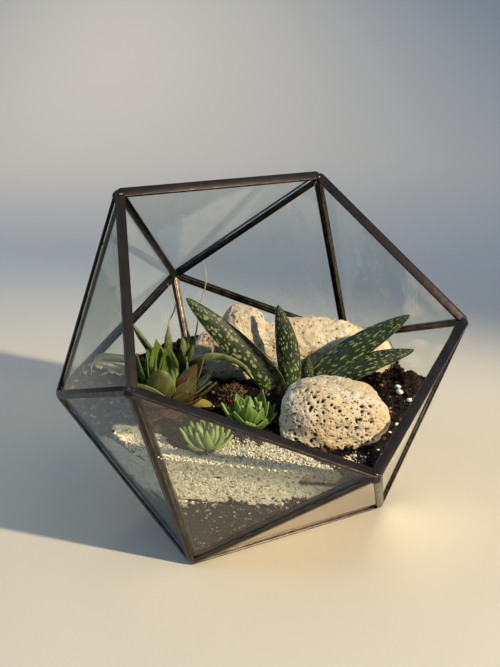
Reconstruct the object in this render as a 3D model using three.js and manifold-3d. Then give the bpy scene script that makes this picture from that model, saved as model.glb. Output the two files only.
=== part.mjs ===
// A faceted glass terrarium planted with succulents.
//
// The vessel is a regular icosahedron standing on one face. One corner is left off with the
// five panes round it, which leaves a tilted pentagon to plant and water through. Every pane
// edge sits in a metal strip: a capped channel round the opening, a double channel at a seam.
// Inside lie grit, pale sand and potting soil, four stones and five small plants.
//
// Millimetres, +Z up. The origin is the middle of the floor triangle, on the table.

import * as THREE from 'three';
import { ConvexGeometry } from 'three/addons/geometries/ConvexGeometry.js';
import { mergeVertices } from 'three/addons/utils/BufferGeometryUtils.js';
import Module from 'manifold-3d';

const wasm = await Module();
wasm.setup();

// ---------------------------------------------------------------- driving dimensions

const EDGE = 100; // corner to corner along every pane edge
const GLASS = 2; // pane thickness
const WALL = 1; // thickness of a strip's flange
const PLAY = 0.1; // clearance of a pane in its channel
const SEAM_INSET = 1.8; // from a seam line to the glass edge
const SEAM_FLANGE = 2.2; // reach of a seam strip's outer flange over each pane
const SEAM_INNER = 1.5; // reach of its inner flange from the crease inside
const RIM_CAP = 0.8; // thickness of the cap round the opening
const RIM_FLANGE = 1.4; // reach of a rim strip's flange over its pane
const MITRE_SHIFT = 0.4; // moves each strip off its mitres, for a gap of about a quarter millimetre
const TIP_CUT = 1.5; // how far each soldered corner is cut back from its point
const STRIP_DEPTH = 2 * WALL + 2 * PLAY + GLASS; // outer flange to inner flange

const SEAT_GAP = 0.3; // between pieces that rest on one another
const GRIT_TOP = 38; // height of the dark drainage grit
const BOWL_FLOOR = 50; // underside of the potting soil
const SAND_TOP = 59; // height of the sand bank behind the front left pane
const SOIL_TOP = 63; // height of the soil in the middle

// ---------------------------------------------------------------- solids

function toSolid(geometry) {
  const bare = geometry.clone();
  bare.deleteAttribute('normal');
  bare.deleteAttribute('uv');
  const merged = mergeVertices(bare, 1e-4);
  const mesh = new wasm.Mesh({
    numProp: 3,
    vertProperties: new Float32Array(merged.attributes.position.array),
    triVerts: new Uint32Array(merged.index.array),
  });
  mesh.merge();
  return new wasm.Manifold(mesh);
}

function toGeometry(solid) {
  const mesh = solid.getMesh();
  const geometry = new THREE.BufferGeometry();
  geometry.setAttribute('position', new THREE.BufferAttribute(mesh.vertProperties, mesh.numProp));
  geometry.setIndex(new THREE.BufferAttribute(mesh.triVerts, 1));
  geometry.computeVertexNormals();
  return geometry;
}

function joined(solids) {
  return solids.reduce((whole, solid) => whole.add(solid));
}

function vec(x, y, z) {
  return new THREE.Vector3(x, y, z);
}

// ---------------------------------------------------------------- materials

function finish(color, roughness, metalness = 0) {
  return new THREE.MeshStandardMaterial({ color, roughness, metalness, flatShading: true });
}

const clearGlass = new THREE.MeshStandardMaterial({
  color: 0xdfe9e8,
  roughness: 0.05,
  metalness: 0,
  transparent: true,
  opacity: 0.25,
});
const patina = finish(0x4a4038, 0.45, 0.8);
const grit = finish(0x3b382f, 0.95);
const sand = finish(0xcfc6b4, 0.95);
const soil = finish(0x2a1f17, 1);
const limestone = finish(0xe2d3b4, 0.9);
const pumice = finish(0xd8c9ac, 0.9);
const spottedLeaf = finish(0x3c5138, 0.5);
const spoonLeaf = finish(0x6d7a34, 0.5);
const narrowLeaf = finish(0x8a9160, 0.6);
const brightLeaf = finish(0x5f8a1f, 0.45);
const paleLeaf = finish(0x9fb46a, 0.5);
const dryMoss = finish(0x8d6a44, 1);
const yellowLeaf = finish(0xb39b35, 0.6);

// ---------------------------------------------------------------- the glass figure

// The corners lie on four levels, each a triangle, whose radii and heights follow from the
// golden ratio.
const GOLDEN = (1 + Math.sqrt(5)) / 2;
const NARROW = EDGE / Math.sqrt(3);
const WIDE = GOLDEN * NARROW;
const TOP = GOLDEN * WIDE;

function corner(radius, height, degrees) {
  const angle = THREE.MathUtils.degToRad(degrees);
  return vec(radius * Math.cos(angle), radius * Math.sin(angle), height);
}

const corners = {
  floor_back: corner(NARROW, 0, 90),
  floor_left: corner(NARROW, 0, 210),
  floor_right: corner(NARROW, 0, 330),
  low_right: corner(WIDE, NARROW, 30),
  low_left: corner(WIDE, NARROW, 150),
  rim_front: corner(WIDE, NARROW, 270),
  high_back: corner(WIDE, WIDE, 90),
  rim_left: corner(WIDE, WIDE, 210),
  rim_right: corner(WIDE, WIDE, 330),
  rim_back_right: corner(NARROW, TOP, 30),
  rim_back_left: corner(NARROW, TOP, 150),
  missing: corner(NARROW, TOP, 270),
};
const figure = Object.values(corners).map((point) => point.clone());
const centre = vec(0, 0, TOP / 2);

// This corner was soldered a little outside the true figure.
corners.rim_back_left.add(vec(-2, 1.8, 1.7));

function near(a, b) {
  return Math.abs(corners[a].distanceTo(corners[b]) - EDGE) < 0.05 * EDGE;
}

const names = Object.keys(corners);
const edges = [];
const faces = [];
names.forEach((a, i) => {
  names.slice(i + 1).filter((b) => near(a, b)).forEach((b) => {
    edges.push([a, b]);
    names.slice(names.indexOf(b) + 1).filter((c) => near(a, c) && near(b, c)).forEach((c) => {
      faces.push([a, b, c]);
    });
  });
});
const panes = faces.filter((face) => !face.includes('missing'));
const strips = edges.filter((edge) => !edge.includes('missing'));

function outward(face) {
  const [a, b, c] = face.map((name) => corners[name]);
  const normal = b.clone().sub(a).cross(c.clone().sub(a)).normalize();
  return normal.dot(a.clone().sub(centre)) > 0 ? normal : normal.negate();
}

function facesAlong(edge, among) {
  return among.filter((face) => edge.every((name) => face.includes(name)));
}

function isRim(edge) {
  return facesAlong(edge, panes).length === 1;
}

function middle(face) {
  return face.reduce((sum, name) => sum.add(corners[name]), vec(0, 0, 0)).divideScalar(face.length);
}

// ---------------------------------------------------------------- glass panes

function paneInset(edge) {
  return isRim(edge) ? RIM_CAP + PLAY : SEAM_INSET;
}

function pane(face) {
  const normal = outward(face);
  const points = [];
  face.forEach((name, i) => {
    const [left, right] = [face[(i + 1) % 3], face[(i + 2) % 3]];
    const toLeft = corners[left].clone().sub(corners[name]).normalize();
    const toRight = corners[right].clone().sub(corners[name]).normalize();
    const sine = toLeft.clone().cross(toRight).length();
    const at = corners[name].clone();
    at.addScaledVector(toLeft, paneInset([name, right]) / sine);
    at.addScaledVector(toRight, paneInset([name, left]) / sine);
    points.push(at.clone().addScaledVector(normal, -(WALL + PLAY)));
    points.push(at.clone().addScaledVector(normal, -(WALL + PLAY + GLASS)));
  });
  return new ConvexGeometry(points);
}

// ---------------------------------------------------------------- metal strips

// The space that belongs to one edge: a wedge from the middle of the figure, mitred against
// the neighbouring strips and cut square across each corner.
function wedge(edge) {
  const ends = edge.map((name) => corners[name].clone().sub(centre));
  const sides = facesAlong(edge, faces).map((face) => (
    face.includes('missing') ? corners.missing : middle(face)
  ).clone().sub(centre));
  const reach = EDGE / 2;
  const points = [vec(0, 0, 0)];
  ends.forEach((end) => {
    const tip = end.clone().setLength(end.length() - TIP_CUT);
    points.push(tip);
    sides.forEach((side) => {
      const across = side.clone().projectOnPlane(end.clone().normalize()).normalize();
      points.push(tip.clone().addScaledVector(across, reach));
    });
  });
  const shift = ends[0].clone().add(ends[1]).setLength(MITRE_SHIFT).add(centre);
  return toSolid(new ConvexGeometry(points.map((point) => point.add(shift))));
}

function shapeFrom(points) {
  return new THREE.Shape(points.map(([x, y]) => new THREE.Vector2(x, y)));
}

// Section of a double channel, seen along its seam. The ridge is at the origin and up is
// outward. Distances run along a pane from the seam, and down through its thickness.
function seamSection(halfAngle) {
  const sine = Math.sin(halfAngle);
  const cosine = Math.cos(halfAngle);
  const web = SEAM_INSET - PLAY;
  const foot = STRIP_DEPTH / Math.tan(halfAngle);
  const right = [
    [SEAM_FLANGE, 0],
    [SEAM_FLANGE, WALL],
    [web, WALL],
    [web, STRIP_DEPTH - WALL],
    [foot + SEAM_INNER, STRIP_DEPTH - WALL],
    [foot + SEAM_INNER, STRIP_DEPTH],
  ].map(([along, deep]) => [along * sine - deep * cosine, -along * cosine - deep * sine]);
  const left = right.map(([x, y]) => [-x, y]).reverse();
  return shapeFrom([[0, 0], ...right, [0, -STRIP_DEPTH / sine], ...left]);
}

// Section of a rim channel: the cap is at the left, and the pane enters from the right.
function rimSection() {
  return shapeFrom([
    [0, 0],
    [0, -STRIP_DEPTH],
    [RIM_FLANGE, -STRIP_DEPTH],
    [RIM_FLANGE, WALL - STRIP_DEPTH],
    [RIM_CAP, WALL - STRIP_DEPTH],
    [RIM_CAP, -WALL],
    [RIM_FLANGE, -WALL],
    [RIM_FLANGE, 0],
  ]);
}

function placedBar(section, across, up, from, to) {
  const along = across.clone().cross(up).normalize();
  const length = from.distanceTo(to);
  const begin = along.dot(to.clone().sub(from)) > 0 ? from : to;
  const bar = new THREE.ExtrudeGeometry(section, { depth: length, bevelEnabled: false });
  bar.applyMatrix4(new THREE.Matrix4().makeBasis(across, up, along).setPosition(begin));
  return bar;
}

function strip(edge) {
  const [from, to] = edge.map((name) => corners[name]);
  const line = to.clone().sub(from).normalize();
  const normals = facesAlong(edge, panes).map(outward);
  const up = normals.reduce((sum, normal) => sum.add(normal), vec(0, 0, 0)).normalize();
  let across = up.clone().cross(line);
  let section;
  if (isRim(edge)) {
    const [face] = facesAlong(edge, panes);
    across = middle(face).sub(from).projectOnPlane(line).normalize();
    section = rimSection();
  } else {
    section = seamSection(Math.PI / 2 - up.angleTo(normals[0]));
  }
  const bar = placedBar(section, across, up, from, to);
  return toGeometry(toSolid(bar).intersect(wedge(edge)));
}

// ---------------------------------------------------------------- fill

// The space inside the strips, which the fill takes up from the floor.
const SHRINK = STRIP_DEPTH + SEAT_GAP;
const faceDistance = (GOLDEN * GOLDEN * EDGE) / (2 * Math.sqrt(3));
const insideScale = (faceDistance - SHRINK) / faceDistance;
const inside = toSolid(new ConvexGeometry(
  figure.map((point) => point.clone().sub(centre).multiplyScalar(insideScale).add(centre)),
));

const FIELD = 200; // side of the square block that a ground surface is cut from
const CELLS = 16;

// Everything below a ground surface.
function ground(heightAt, lift = 0) {
  const block = new THREE.BoxGeometry(FIELD, FIELD, 2 * FIELD, CELLS, CELLS, 1);
  const place = block.attributes.position;
  for (let i = 0; i < place.count; i += 1) {
    if (place.getZ(i) > 0) {
      place.setZ(i, heightAt(place.getX(i), place.getY(i)) + lift);
    }
  }
  return toSolid(block);
}

const { smoothstep, degToRad } = THREE.MathUtils;

function gritHeight(x, y) {
  return GRIT_TOP + 1.5 * Math.sin(x / 17) + Math.cos(y / 13);
}

// The sand is banked highest behind the left rim corner and falls away to the back.
function sandHeight(x, y) {
  const bank = 3 * smoothstep(-x, 20, 70) - 7 * smoothstep(y, -30, 5);
  return SAND_TOP - 1 + bank + 0.4 * Math.sin(x / 9 + y / 7);
}

// The soil is level at the back and falls to the front rim corner and to the sand.
function soilHeight(x, y) {
  const front = 7 * smoothstep(-y, 38, 86);
  const left = 3.5 * smoothstep(-x - 0.35 * y, 42, 66);
  return SOIL_TOP - front - left + 0.6 * Math.sin(x / 8) * Math.cos(y / 9);
}

// The soil's outline from above. It runs out past the glass at the right and the back, and
// stops short of the two front left panes, where the sand shows.
const shore = shapeFrom([
  [-13, -110],
  [-15, -78],
  [-21, -66],
  [-33, -55],
  [-46, -48],
  [-55, -38],
  [-61, -27],
  [-66, -16],
  [-76, -11],
  [-110, -9],
  [-110, 110],
  [110, 110],
  [110, -110],
]);

function bowl(clearance) {
  const block = new THREE.ExtrudeGeometry(shore, {
    depth: FIELD,
    bevelThickness: clearance,
    bevelSize: clearance,
    bevelSegments: 1,
    bevelEnabled: clearance > 0,
  });
  block.translate(0, 0, BOWL_FLOOR);
  return toSolid(block);
}

// ---------------------------------------------------------------- stones

const STONE_TURN = degToRad(-28.5); // the stones lie across the opening, turned a little

// A rounded, uneven lump. Size is half its length, depth and height.
function lump({ at, size, turn = STONE_TURN, seed, detail = 3 }, clearance = 0) {
  const ball = new THREE.IcosahedronGeometry(1, detail);
  const place = ball.attributes.position;
  const half = vec(...size).addScalar(clearance);
  const point = vec(0, 0, 0);
  for (let i = 0; i < place.count; i += 1) {
    point.fromBufferAttribute(place, i);
    const blocky = (Math.abs(point.x) ** 2.6 + Math.abs(point.y) ** 2.6
      + Math.abs(point.z) ** 2.6) ** (-1 / 2.6);
    const swell = 0.05 * Math.sin(3 * point.x + seed) + 0.05 * Math.sin(4 * point.y + 2 * seed)
      + 0.04 * Math.sin(5 * point.z + 2 * point.x + 3 * seed);
    point.multiplyScalar(blocky * (1 + swell)).multiply(half);
    place.setXYZ(i, point.x, point.y, point.z);
  }
  ball.rotateZ(turn);
  ball.translate(...at);
  return toSolid(ball);
}

const frontStone = [{ at: [6, -52, 67], size: [23, 15.5, 14.2], seed: 2, detail: 4 }];
const rearStone = [
  { at: [35, 7, 71], size: [20.5, 13, 16], seed: 4, detail: 3 },
  { at: [55, -4, 69], size: [15, 12, 11], seed: 2, detail: 3 },
];
const sideStone = [
  { at: [-6.5, 18, 72.5], size: [17.5, 10, 12], seed: 1, detail: 3 },
  { at: [0.5, 13.5, 86], size: [9.5, 8, 10], seed: 3, detail: 2 },
  { at: [12, 12, 76], size: [12, 9, 11], seed: 5, detail: 2 },
];
const leftStone = [{ at: [-54, 47, 63], size: [11, 8, 5.5], seed: 5, detail: 2 }];
const moss = [{ at: [-18.5, -9.5, 65.5], size: [6.5, 6, 4.5], seed: 6, detail: 2 }];

function lumps(list, clearance = 0) {
  return joined(list.map((item) => lump(item, clearance)));
}

// ---------------------------------------------------------------- leaves

// Relative width along a leaf. It swells from the base to its widest place and narrows to
// the tip, which is rounder the lower the number called round is.
function leafWidth(t, { widest, base, round }) {
  if (t < widest) {
    return base + (1 - base) * Math.sin((t / widest) * (Math.PI / 2));
  }
  return Math.max(0.08, Math.cos(((t - widest) / (1 - widest)) * (Math.PI / 2)) ** round);
}

// A leaf that follows a path from its root to its tip. Faces is the way its upper side looks.
function blade(leaf, clearance = 0) {
  const { path, width, thickness, faces, sides, steps } = leaf;
  const curve = new THREE.CatmullRomCurve3(path.map((point) => vec(...point)));
  const rod = new THREE.CylinderGeometry(1, 1, 1, sides, steps);
  const place = rod.attributes.position;
  for (let i = 0; i < place.count; i += 1) {
    const t = THREE.MathUtils.clamp(place.getY(i) + 0.5, 0, 1);
    const run = curve.getTangent(t);
    const side = run.clone().cross(vec(...faces)).normalize();
    const face = side.clone().cross(run);
    const wide = (width / 2) * leafWidth(t, leaf) + clearance;
    const thick = (thickness / 2) * (1 - 0.6 * t) + clearance;
    const at = curve.getPoint(t);
    at.addScaledVector(side, place.getX(i) * wide);
    at.addScaledVector(face, place.getZ(i) * thick);
    place.setXYZ(i, at.x, at.y, at.z);
  }
  return toSolid(rod);
}

const gasteriaForm = {
  thickness: 4.6, widest: 0.55, base: 0.75, round: 0.65, sides: 8, steps: 10,
};
const gasteria = {
  gasteria_leaf_left: {
    path: [[5, -7, 60], [1, -6, 68], [-13.6, 0.2, 85.8], [-31.6, 7.9, 106.3]],
    width: 10.2,
    faces: [-0.25, -0.85, 0.3],
  },
  gasteria_leaf_upright: {
    path: [[9.5, -12, 60], [10, -11, 70], [9.6, -9, 83], [6.8, -5.7, 101.2]],
    width: 10,
    faces: [-0.4, -0.9, 0.1],
  },
  gasteria_leaf_small: {
    path: [[16.3, -14.6, 60], [17, -14, 68], [18, -13, 77.5]],
    width: 6,
    faces: [-0.4, -0.9, 0.1],
  },
  gasteria_leaf_right_upper: {
    path: [[17, -9, 60], [22, -13, 67], [37.7, -23.8, 82.2], [56.7, -35, 96.5]],
    width: 11,
    faces: [-0.5, -0.6, 0.6],
  },
  gasteria_leaf_right_lower: {
    path: [[20, -20, 60], [25, -22, 67], [40, -31.5, 77], [57, -38.7, 81.2]],
    width: 9,
    faces: [-0.3, -0.6, 0.8],
  },
};

// A rosette: each leaf bows outward from the root to its own tip.
function rosette(root, tips, form) {
  return tips.map(([x, y, z, width]) => {
    const tip = vec(x, y, z);
    const foot = vec(...root);
    const out = tip.clone().sub(foot).setZ(0).normalize();
    const half = foot.clone().lerp(tip, 0.5).addScaledVector(out, form.bow);
    const faces = [-out.x, -out.y, 0.8];
    return { ...form, path: [root, half.toArray(), tip.toArray()], width, faces };
  });
}

const broadRoot = [-44, 1, 64.5];
const broadForm = {
  thickness: 2.6, widest: 0.7, base: 0.45, round: 0.6, sides: 6, steps: 5, bow: 2.5,
};
const broadTips = [
  [-50.2, -6, 84, 12],
  [-60.3, 1, 76.2, 10],
  [-56.1, 5.6, 86.9, 6],
  [-51.5, 5.4, 84.3, 6],
  [-45.1, 9.9, 89.9, 11],
  [-41.4, 5.6, 87.8, 9],
  [-48, 3, 85.7, 4],
  [-43.4, -1.3, 79.9, 4],
  [-36.5, 3, 86.4, 8],
  [-35.7, -0.9, 81, 6],
  [-34.8, -6, 80.7, 9],
  [-29.4, -4.3, 82.8, 7],
  [-42.3, -13.3, 73.4, 9],
  [-28.6, -15, 75.3, 7],
  [-59, 10, 80, 8],
  [-52, 13, 78, 8],
  [-37, 9, 80, 7],
];

const brightRoot = [-25, -38, 64];
const brightForm = {
  thickness: 2.4, widest: 0.45, base: 0.5, round: 1, sides: 6, steps: 4, bow: 1.5,
};
const brightTips = [
  [-19.2, -37.7, 78, 6],
  [-24.3, -33.8, 75.2, 6],
  [-27.8, -30.8, 76.2, 5],
  [-35.5, -32.3, 73.8, 5],
  [-15.6, -43.1, 69.1, 6],
  [-13, -37.5, 70.2, 5],
  [-28.3, -41.9, 75.1, 7],
  [-33.7, -40.1, 72.6, 6],
  [-28.4, -36.2, 74.9, 4],
  [-22.9, -38, 75.5, 4],
  [-21, -30, 71, 6],
  [-30.5, -29, 70, 6],
  [-22, -46, 69, 6],
];

const paleRoot = [-46, -41.5, 61.2];
const paleForm = {
  thickness: 2.2, widest: 0.4, base: 0.6, round: 1, sides: 6, steps: 4, bow: 2,
};
const paleTips = [
  [-56, -36.6, 69.7, 4],
  [-53.3, -34.6, 68.8, 4],
  [-52.8, -38.3, 70.3, 4],
  [-50.4, -35, 70.9, 4],
  [-43.1, -39, 73.4, 4],
  [-44.3, -36.2, 72.1, 4],
  [-39.7, -42, 71.6, 4],
  [-37.5, -46.5, 66.4, 6],
  [-55, -42, 64.5, 4],
  [-43.6, -44.4, 70.9, 4],
  [-49.7, -40, 71.8, 4],
  [-48.5, -45.5, 70.5, 5],
  [-41, -35, 68, 4],
];

// Long narrow leaves from one root, dried and curled at their ends.
const narrowRoot = [-33, 21, 63.5];
const narrowForm = {
  thickness: 2.2, widest: 0.25, base: 0.8, round: 0.6, sides: 5, steps: 9, faces: [-0.5, -0.8, 0.2],
};
const narrowPaths = [
  [2.6, [-31, 17, 70], [-27, 12.5, 80.6], [-21, 14, 102], [-19, 12.7, 112], [-20, 13.3, 121]],
  [3.6, [-36, 18, 72], [-37, 15.8, 82], [-35.5, 17.2, 93], [-33, 15.8, 101.7], [-35.6, 17.3, 111.8]],
  [2.6, [-37, 20, 71], [-43.4, 19.2, 81.6], [-52, 24, 95.7], [-56.8, 26.5, 101.3], [-58.9, 27.6, 112.7]],
  [2.4, [-38, 22, 70], [-45, 21.5, 82], [-49.5, 24, 92], [-51, 24.5, 102.3]],
  [4, [-31, 18, 71], [-30, 15, 80.7], [-29.8, 15.8, 88.8]],
  [3.4, [-45, 20, 74], [-58.8, 18, 80.8], [-66.5, 19.5, 82], [-69, 20.5, 79], [-69.5, 22, 74]],
  [3.2, [-30.5, 11, 73], [-27, 3.5, 79], [-20.5, 1, 80.2], [-11.5, -3.8, 76.4], [-6.5, -6.9, 69.5]],
];
const narrowLeaves = narrowPaths.map(([width, ...path]) => (
  { ...narrowForm, path: [narrowRoot, ...path], width }
));

const fallenLeaf = {
  path: [[-39, -10.5, 64.6], [-35.5, -12.3, 65.6], [-31.8, -14.3, 65.3]],
  width: 5,
  thickness: 1.4,
  faces: [0.2, -0.5, 0.8],
  widest: 0.5,
  base: 0.6,
  round: 0.6,
  sides: 6,
  steps: 4,
};

// What stands in the soil: everything that is left of it above the surface.
function planted(solid) {
  return solid.subtract(ground(soilHeight, SEAT_GAP));
}

function bunch(leaves) {
  return planted(joined(leaves.map((leaf) => blade(leaf))));
}

// ---------------------------------------------------------------- assembly

const group = new THREE.Group();

function put(name, geometry, material) {
  const mesh = new THREE.Mesh(geometry, material);
  mesh.name = name;
  group.add(mesh);
}

const PANE_NAMES = {
  'floor_back floor_left floor_right': 'floor_pane',
  'floor_back floor_right low_right': 'base_pane_back_right',
  'floor_back floor_left low_left': 'base_pane_back_left',
  'floor_left floor_right rim_front': 'base_pane_front',
  'floor_back low_right high_back': 'side_pane_back_right',
  'floor_back low_left high_back': 'side_pane_back_left',
  'floor_right low_right rim_right': 'side_pane_right',
  'floor_left low_left rim_left': 'side_pane_left',
  'floor_right rim_front rim_right': 'side_pane_front_right',
  'floor_left rim_front rim_left': 'side_pane_front_left',
  'low_right rim_right rim_back_right': 'rim_pane_right',
  'low_right high_back rim_back_right': 'rim_pane_back_right',
  'low_left rim_left rim_back_left': 'rim_pane_left',
  'low_left high_back rim_back_left': 'rim_pane_back_left',
  'high_back rim_back_right rim_back_left': 'rim_pane_back',
};
panes.forEach((face) => put(PANE_NAMES[face.join(' ')], pane(face), clearGlass.clone()));

strips.forEach((edge) => {
  const [from, to] = edge;
  const name = isRim(edge)
    ? `rim_strip_${from.replace('rim_', '')}_to_${to.replace('rim_', '')}`
    : `seam_${from}_to_${to}`;
  put(name, strip(edge), patina.clone());
});

const stones = {
  front_stone: [frontStone, pumice],
  rear_stone: [rearStone, limestone],
  side_stone: [sideStone, limestone.clone()],
  left_stone: [leftStone, limestone.clone()],
};
let potting = inside.intersect(bowl(0)).intersect(ground(soilHeight));
Object.entries(stones).forEach(([name, [list, material]]) => {
  potting = potting.subtract(lumps(list, SEAT_GAP));
  let stone = lumps(list).intersect(inside);
  if (list === sideStone) {
    stone = stone.subtract(lumps(rearStone, SEAT_GAP)); // it leans against the rear stone
  }
  put(name, toGeometry(stone), material);
});
const bank = inside.intersect(ground(sandHeight))
  .subtract(ground(gritHeight, SEAT_GAP)).subtract(bowl(SEAT_GAP));
put('drainage_grit', toGeometry(inside.intersect(ground(gritHeight))), grit);
put('sand_layer', toGeometry(bank), sand);
put('potting_soil', toGeometry(potting), soil);

const leafEntries = Object.entries(gasteria).map(([name, leaf]) => [name, { ...gasteriaForm, ...leaf }]);
leafEntries.forEach(([name, leaf], i) => {
  const earlier = leafEntries.slice(0, i).map(([, other]) => blade(other, SEAT_GAP));
  const solid = earlier.reduce((rest, other) => rest.subtract(other), planted(blade(leaf)));
  put(name, toGeometry(solid), spottedLeaf.clone());
});

put('broad_rosette', toGeometry(bunch(rosette(broadRoot, broadTips, broadForm))), spoonLeaf);
put('narrow_leaf_plant', toGeometry(bunch(narrowLeaves)), narrowLeaf);
put('small_haworthia', toGeometry(bunch(rosette(brightRoot, brightTips, brightForm))), brightLeaf);
put('pale_haworthia', toGeometry(bunch(rosette(paleRoot, paleTips, paleForm))), paleLeaf);
put('dry_moss', toGeometry(planted(lumps(moss))), dryMoss);
put('fallen_yellow_leaf', toGeometry(planted(blade(fallenLeaf))), yellowLeaf);

export default group;
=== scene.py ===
import math
import random
from functools import partial

import bmesh
import bpy
from bpy.props import FloatProperty, FloatVectorProperty, IntProperty, PointerProperty
from bpy.types import Operator, Panel, PropertyGroup
from mathutils import Matrix, Quaternion, Vector, noise


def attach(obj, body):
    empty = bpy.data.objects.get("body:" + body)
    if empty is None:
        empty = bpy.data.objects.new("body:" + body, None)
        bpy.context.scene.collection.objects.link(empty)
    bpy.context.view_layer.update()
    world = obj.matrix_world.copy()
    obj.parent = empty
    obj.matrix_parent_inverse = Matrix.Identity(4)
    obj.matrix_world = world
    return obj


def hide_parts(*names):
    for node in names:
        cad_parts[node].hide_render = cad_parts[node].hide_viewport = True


bl_info = {
    "name": "Glass Plant Terrarium",
    "version": (1, 0, 0),
    "blender": (4, 5, 0),
    "location": "3D View > Sidebar > Terrarium",
    "description": "Builds a planted, faceted glass terrarium round its packed frame",
    "category": "Add Mesh",
}

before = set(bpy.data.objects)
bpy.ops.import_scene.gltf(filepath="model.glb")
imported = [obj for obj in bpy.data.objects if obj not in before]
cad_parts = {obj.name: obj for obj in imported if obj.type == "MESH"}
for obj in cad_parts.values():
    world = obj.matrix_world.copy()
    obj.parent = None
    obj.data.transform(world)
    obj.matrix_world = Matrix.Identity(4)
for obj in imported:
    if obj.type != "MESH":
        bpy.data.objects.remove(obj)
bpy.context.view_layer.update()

MM = 0.001  # meshes are shaped in millimetres and turned to metres when they are placed
EDGE = 100.0  # corner to corner along every pane edge


# ---------------------------------------------------------------- colours and shader nodes

def linear(code):
    """The linear colour of a six-digit sRGB hex value."""
    parts = [int(code[i:i + 2], 16) / 255 for i in (0, 2, 4)]
    return tuple(p / 12.92 if p <= 0.04045 else ((p + 0.055) / 1.055) ** 2.4 for p in parts)


def colour(value):
    """Red, green, blue and alpha of a hex value or of a colour property."""
    return (*(linear(value) if isinstance(value, str) else value), 1.0)


def per_mm(size):
    """The scale of a pattern on Object coordinates with features of that many millimetres."""
    return 1 / (size * MM)


def node(tree, kind, inputs=None, ramp=(), **settings):
    """Adds one shader node with its settings, its sockets' values or links, and its ramp."""
    made = tree.nodes.new("ShaderNode" + kind)
    for name, value in settings.items():
        setattr(made, name, value)
    for name, value in (inputs or {}).items():
        socket = made.inputs[name]
        if isinstance(value, bpy.types.Node):
            value = next(output for output in value.outputs if output.enabled)
        if isinstance(value, bpy.types.NodeSocket):
            tree.links.new(value, socket)
        else:
            socket.default_value = colour(value) if socket.type == "RGBA" else value
    for i, (place, shade) in enumerate(ramp):
        stops = made.color_ramp.elements
        stop = stops[i] if i < 2 else stops.new(place)
        stop.position = place
        stop.color = colour(shade)
    return made


MIX = {"data_type": "RGBA"}  # with 0 as the share, 6 as the first colour and 7 as the second
SOFT = {"interpolation_type": "SMOOTHSTEP"}  # with 0 as the value, 1, 2 to 3, 4 as the ranges
TIMES = {"operation": "MULTIPLY"}  # a Math node that is told nothing adds


def material(name, build, **constants):
    """A material. Constants hold all over it, and build adds what varies.

    Build returns the ground colour, coats over it as shares and colours, bumps as heights
    and the millimetres they rise, and the rest that varies.
    """
    made = bpy.data.materials.new(name)
    made.use_nodes = True
    made.node_tree.nodes.clear()
    add = partial(node, made.node_tree)
    skin, coats, bumps, varying = build(add, add("TexCoord").outputs["Object"])
    for share, shade in coats:
        skin = add("Mix", {0: share, 6: skin, 7: shade}, **MIX)
    relief = {}
    for height, rise in bumps:
        relief = {"Normal": add("Bump", {"Height": height, "Distance": rise * MM, **relief})}
    fixed = {key.replace("_", " ").title().replace("Ior", "IOR"): value
             for key, value in constants.items()}
    shader = add("BsdfPrincipled", {"Base Color": skin, **relief, **fixed, **varying})
    add("OutputMaterial", {"Surface": shader})
    return made


def patches(add, where, size, low, high, most=1.0, detail=3.0, rough=0.55, bend=0.0):
    """Irregular patches of about that size: 0 outside them, most inside, soft at the edge."""
    cloud = add("TexNoise", {"Vector": where, "Scale": per_mm(size), "Detail": detail,
                             "Roughness": rough, "Distortion": bend})
    return add("MapRange", {0: cloud, 1: low, 2: high, 4: most}, **SOFT)


def grains(add, where, size, stops):
    """Packed grains of that size, each with one of the ramp's colours, and the cells."""
    cells = add("TexVoronoi", {"Vector": where, "Scale": per_mm(size)})
    return add("ValToRGB", {"Fac": cells.outputs["Color"]}, ramp=stops), cells


# ---------------------------------------------------------------- meshes

def blank():
    """An empty mesh with the layers that the materials read."""
    bm = bmesh.new()
    bm.loops.layers.uv.new("leaf")
    bm.verts.layers.float.new("tone")
    return bm


def cad_copy(name):
    """A CAD node's mesh in millimetres, with its loose triangles merged."""
    bm = bmesh.new()
    bm.from_mesh(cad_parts[name].data)
    bmesh.ops.scale(bm, vec=(1 / MM,) * 3, verts=bm.verts)
    bmesh.ops.remove_doubles(bm, verts=bm.verts, dist=0.003)
    return bm


def mesh_of(name, bm):
    """A mesh of what has been shaped. The bmesh is freed."""
    mesh = bpy.data.meshes.new(name)
    bm.to_mesh(mesh)
    bm.free()
    return mesh


def set_up(name, data):
    """An object in the scene that shows a mesh, a lamp or the camera."""
    made = bpy.data.objects.new(name, data)
    bpy.context.scene.collection.objects.link(made)
    return made


def place(name, bm, finish, slot, stands_for=(), smooth=True):
    """Turns a mesh to metres and puts it on the object as one piece."""
    bmesh.ops.recalc_face_normals(bm, faces=bm.faces)
    bmesh.ops.scale(bm, vec=(MM,) * 3, verts=bm.verts)
    for face in bm.faces:
        face.smooth = smooth
    mesh = mesh_of(name, bm)
    mesh.materials.append(finish)
    piece = set_up(name, mesh)
    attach(piece, "root")
    if stands_for:
        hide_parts(*stands_for)
    return piece


def smoothstep(value, low, high):
    """0 below low, 1 above high, and a smooth step between."""
    share = min(1.0, max(0.0, (value - low) / (high - low)))
    return share * share * (3 - 2 * share)


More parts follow.
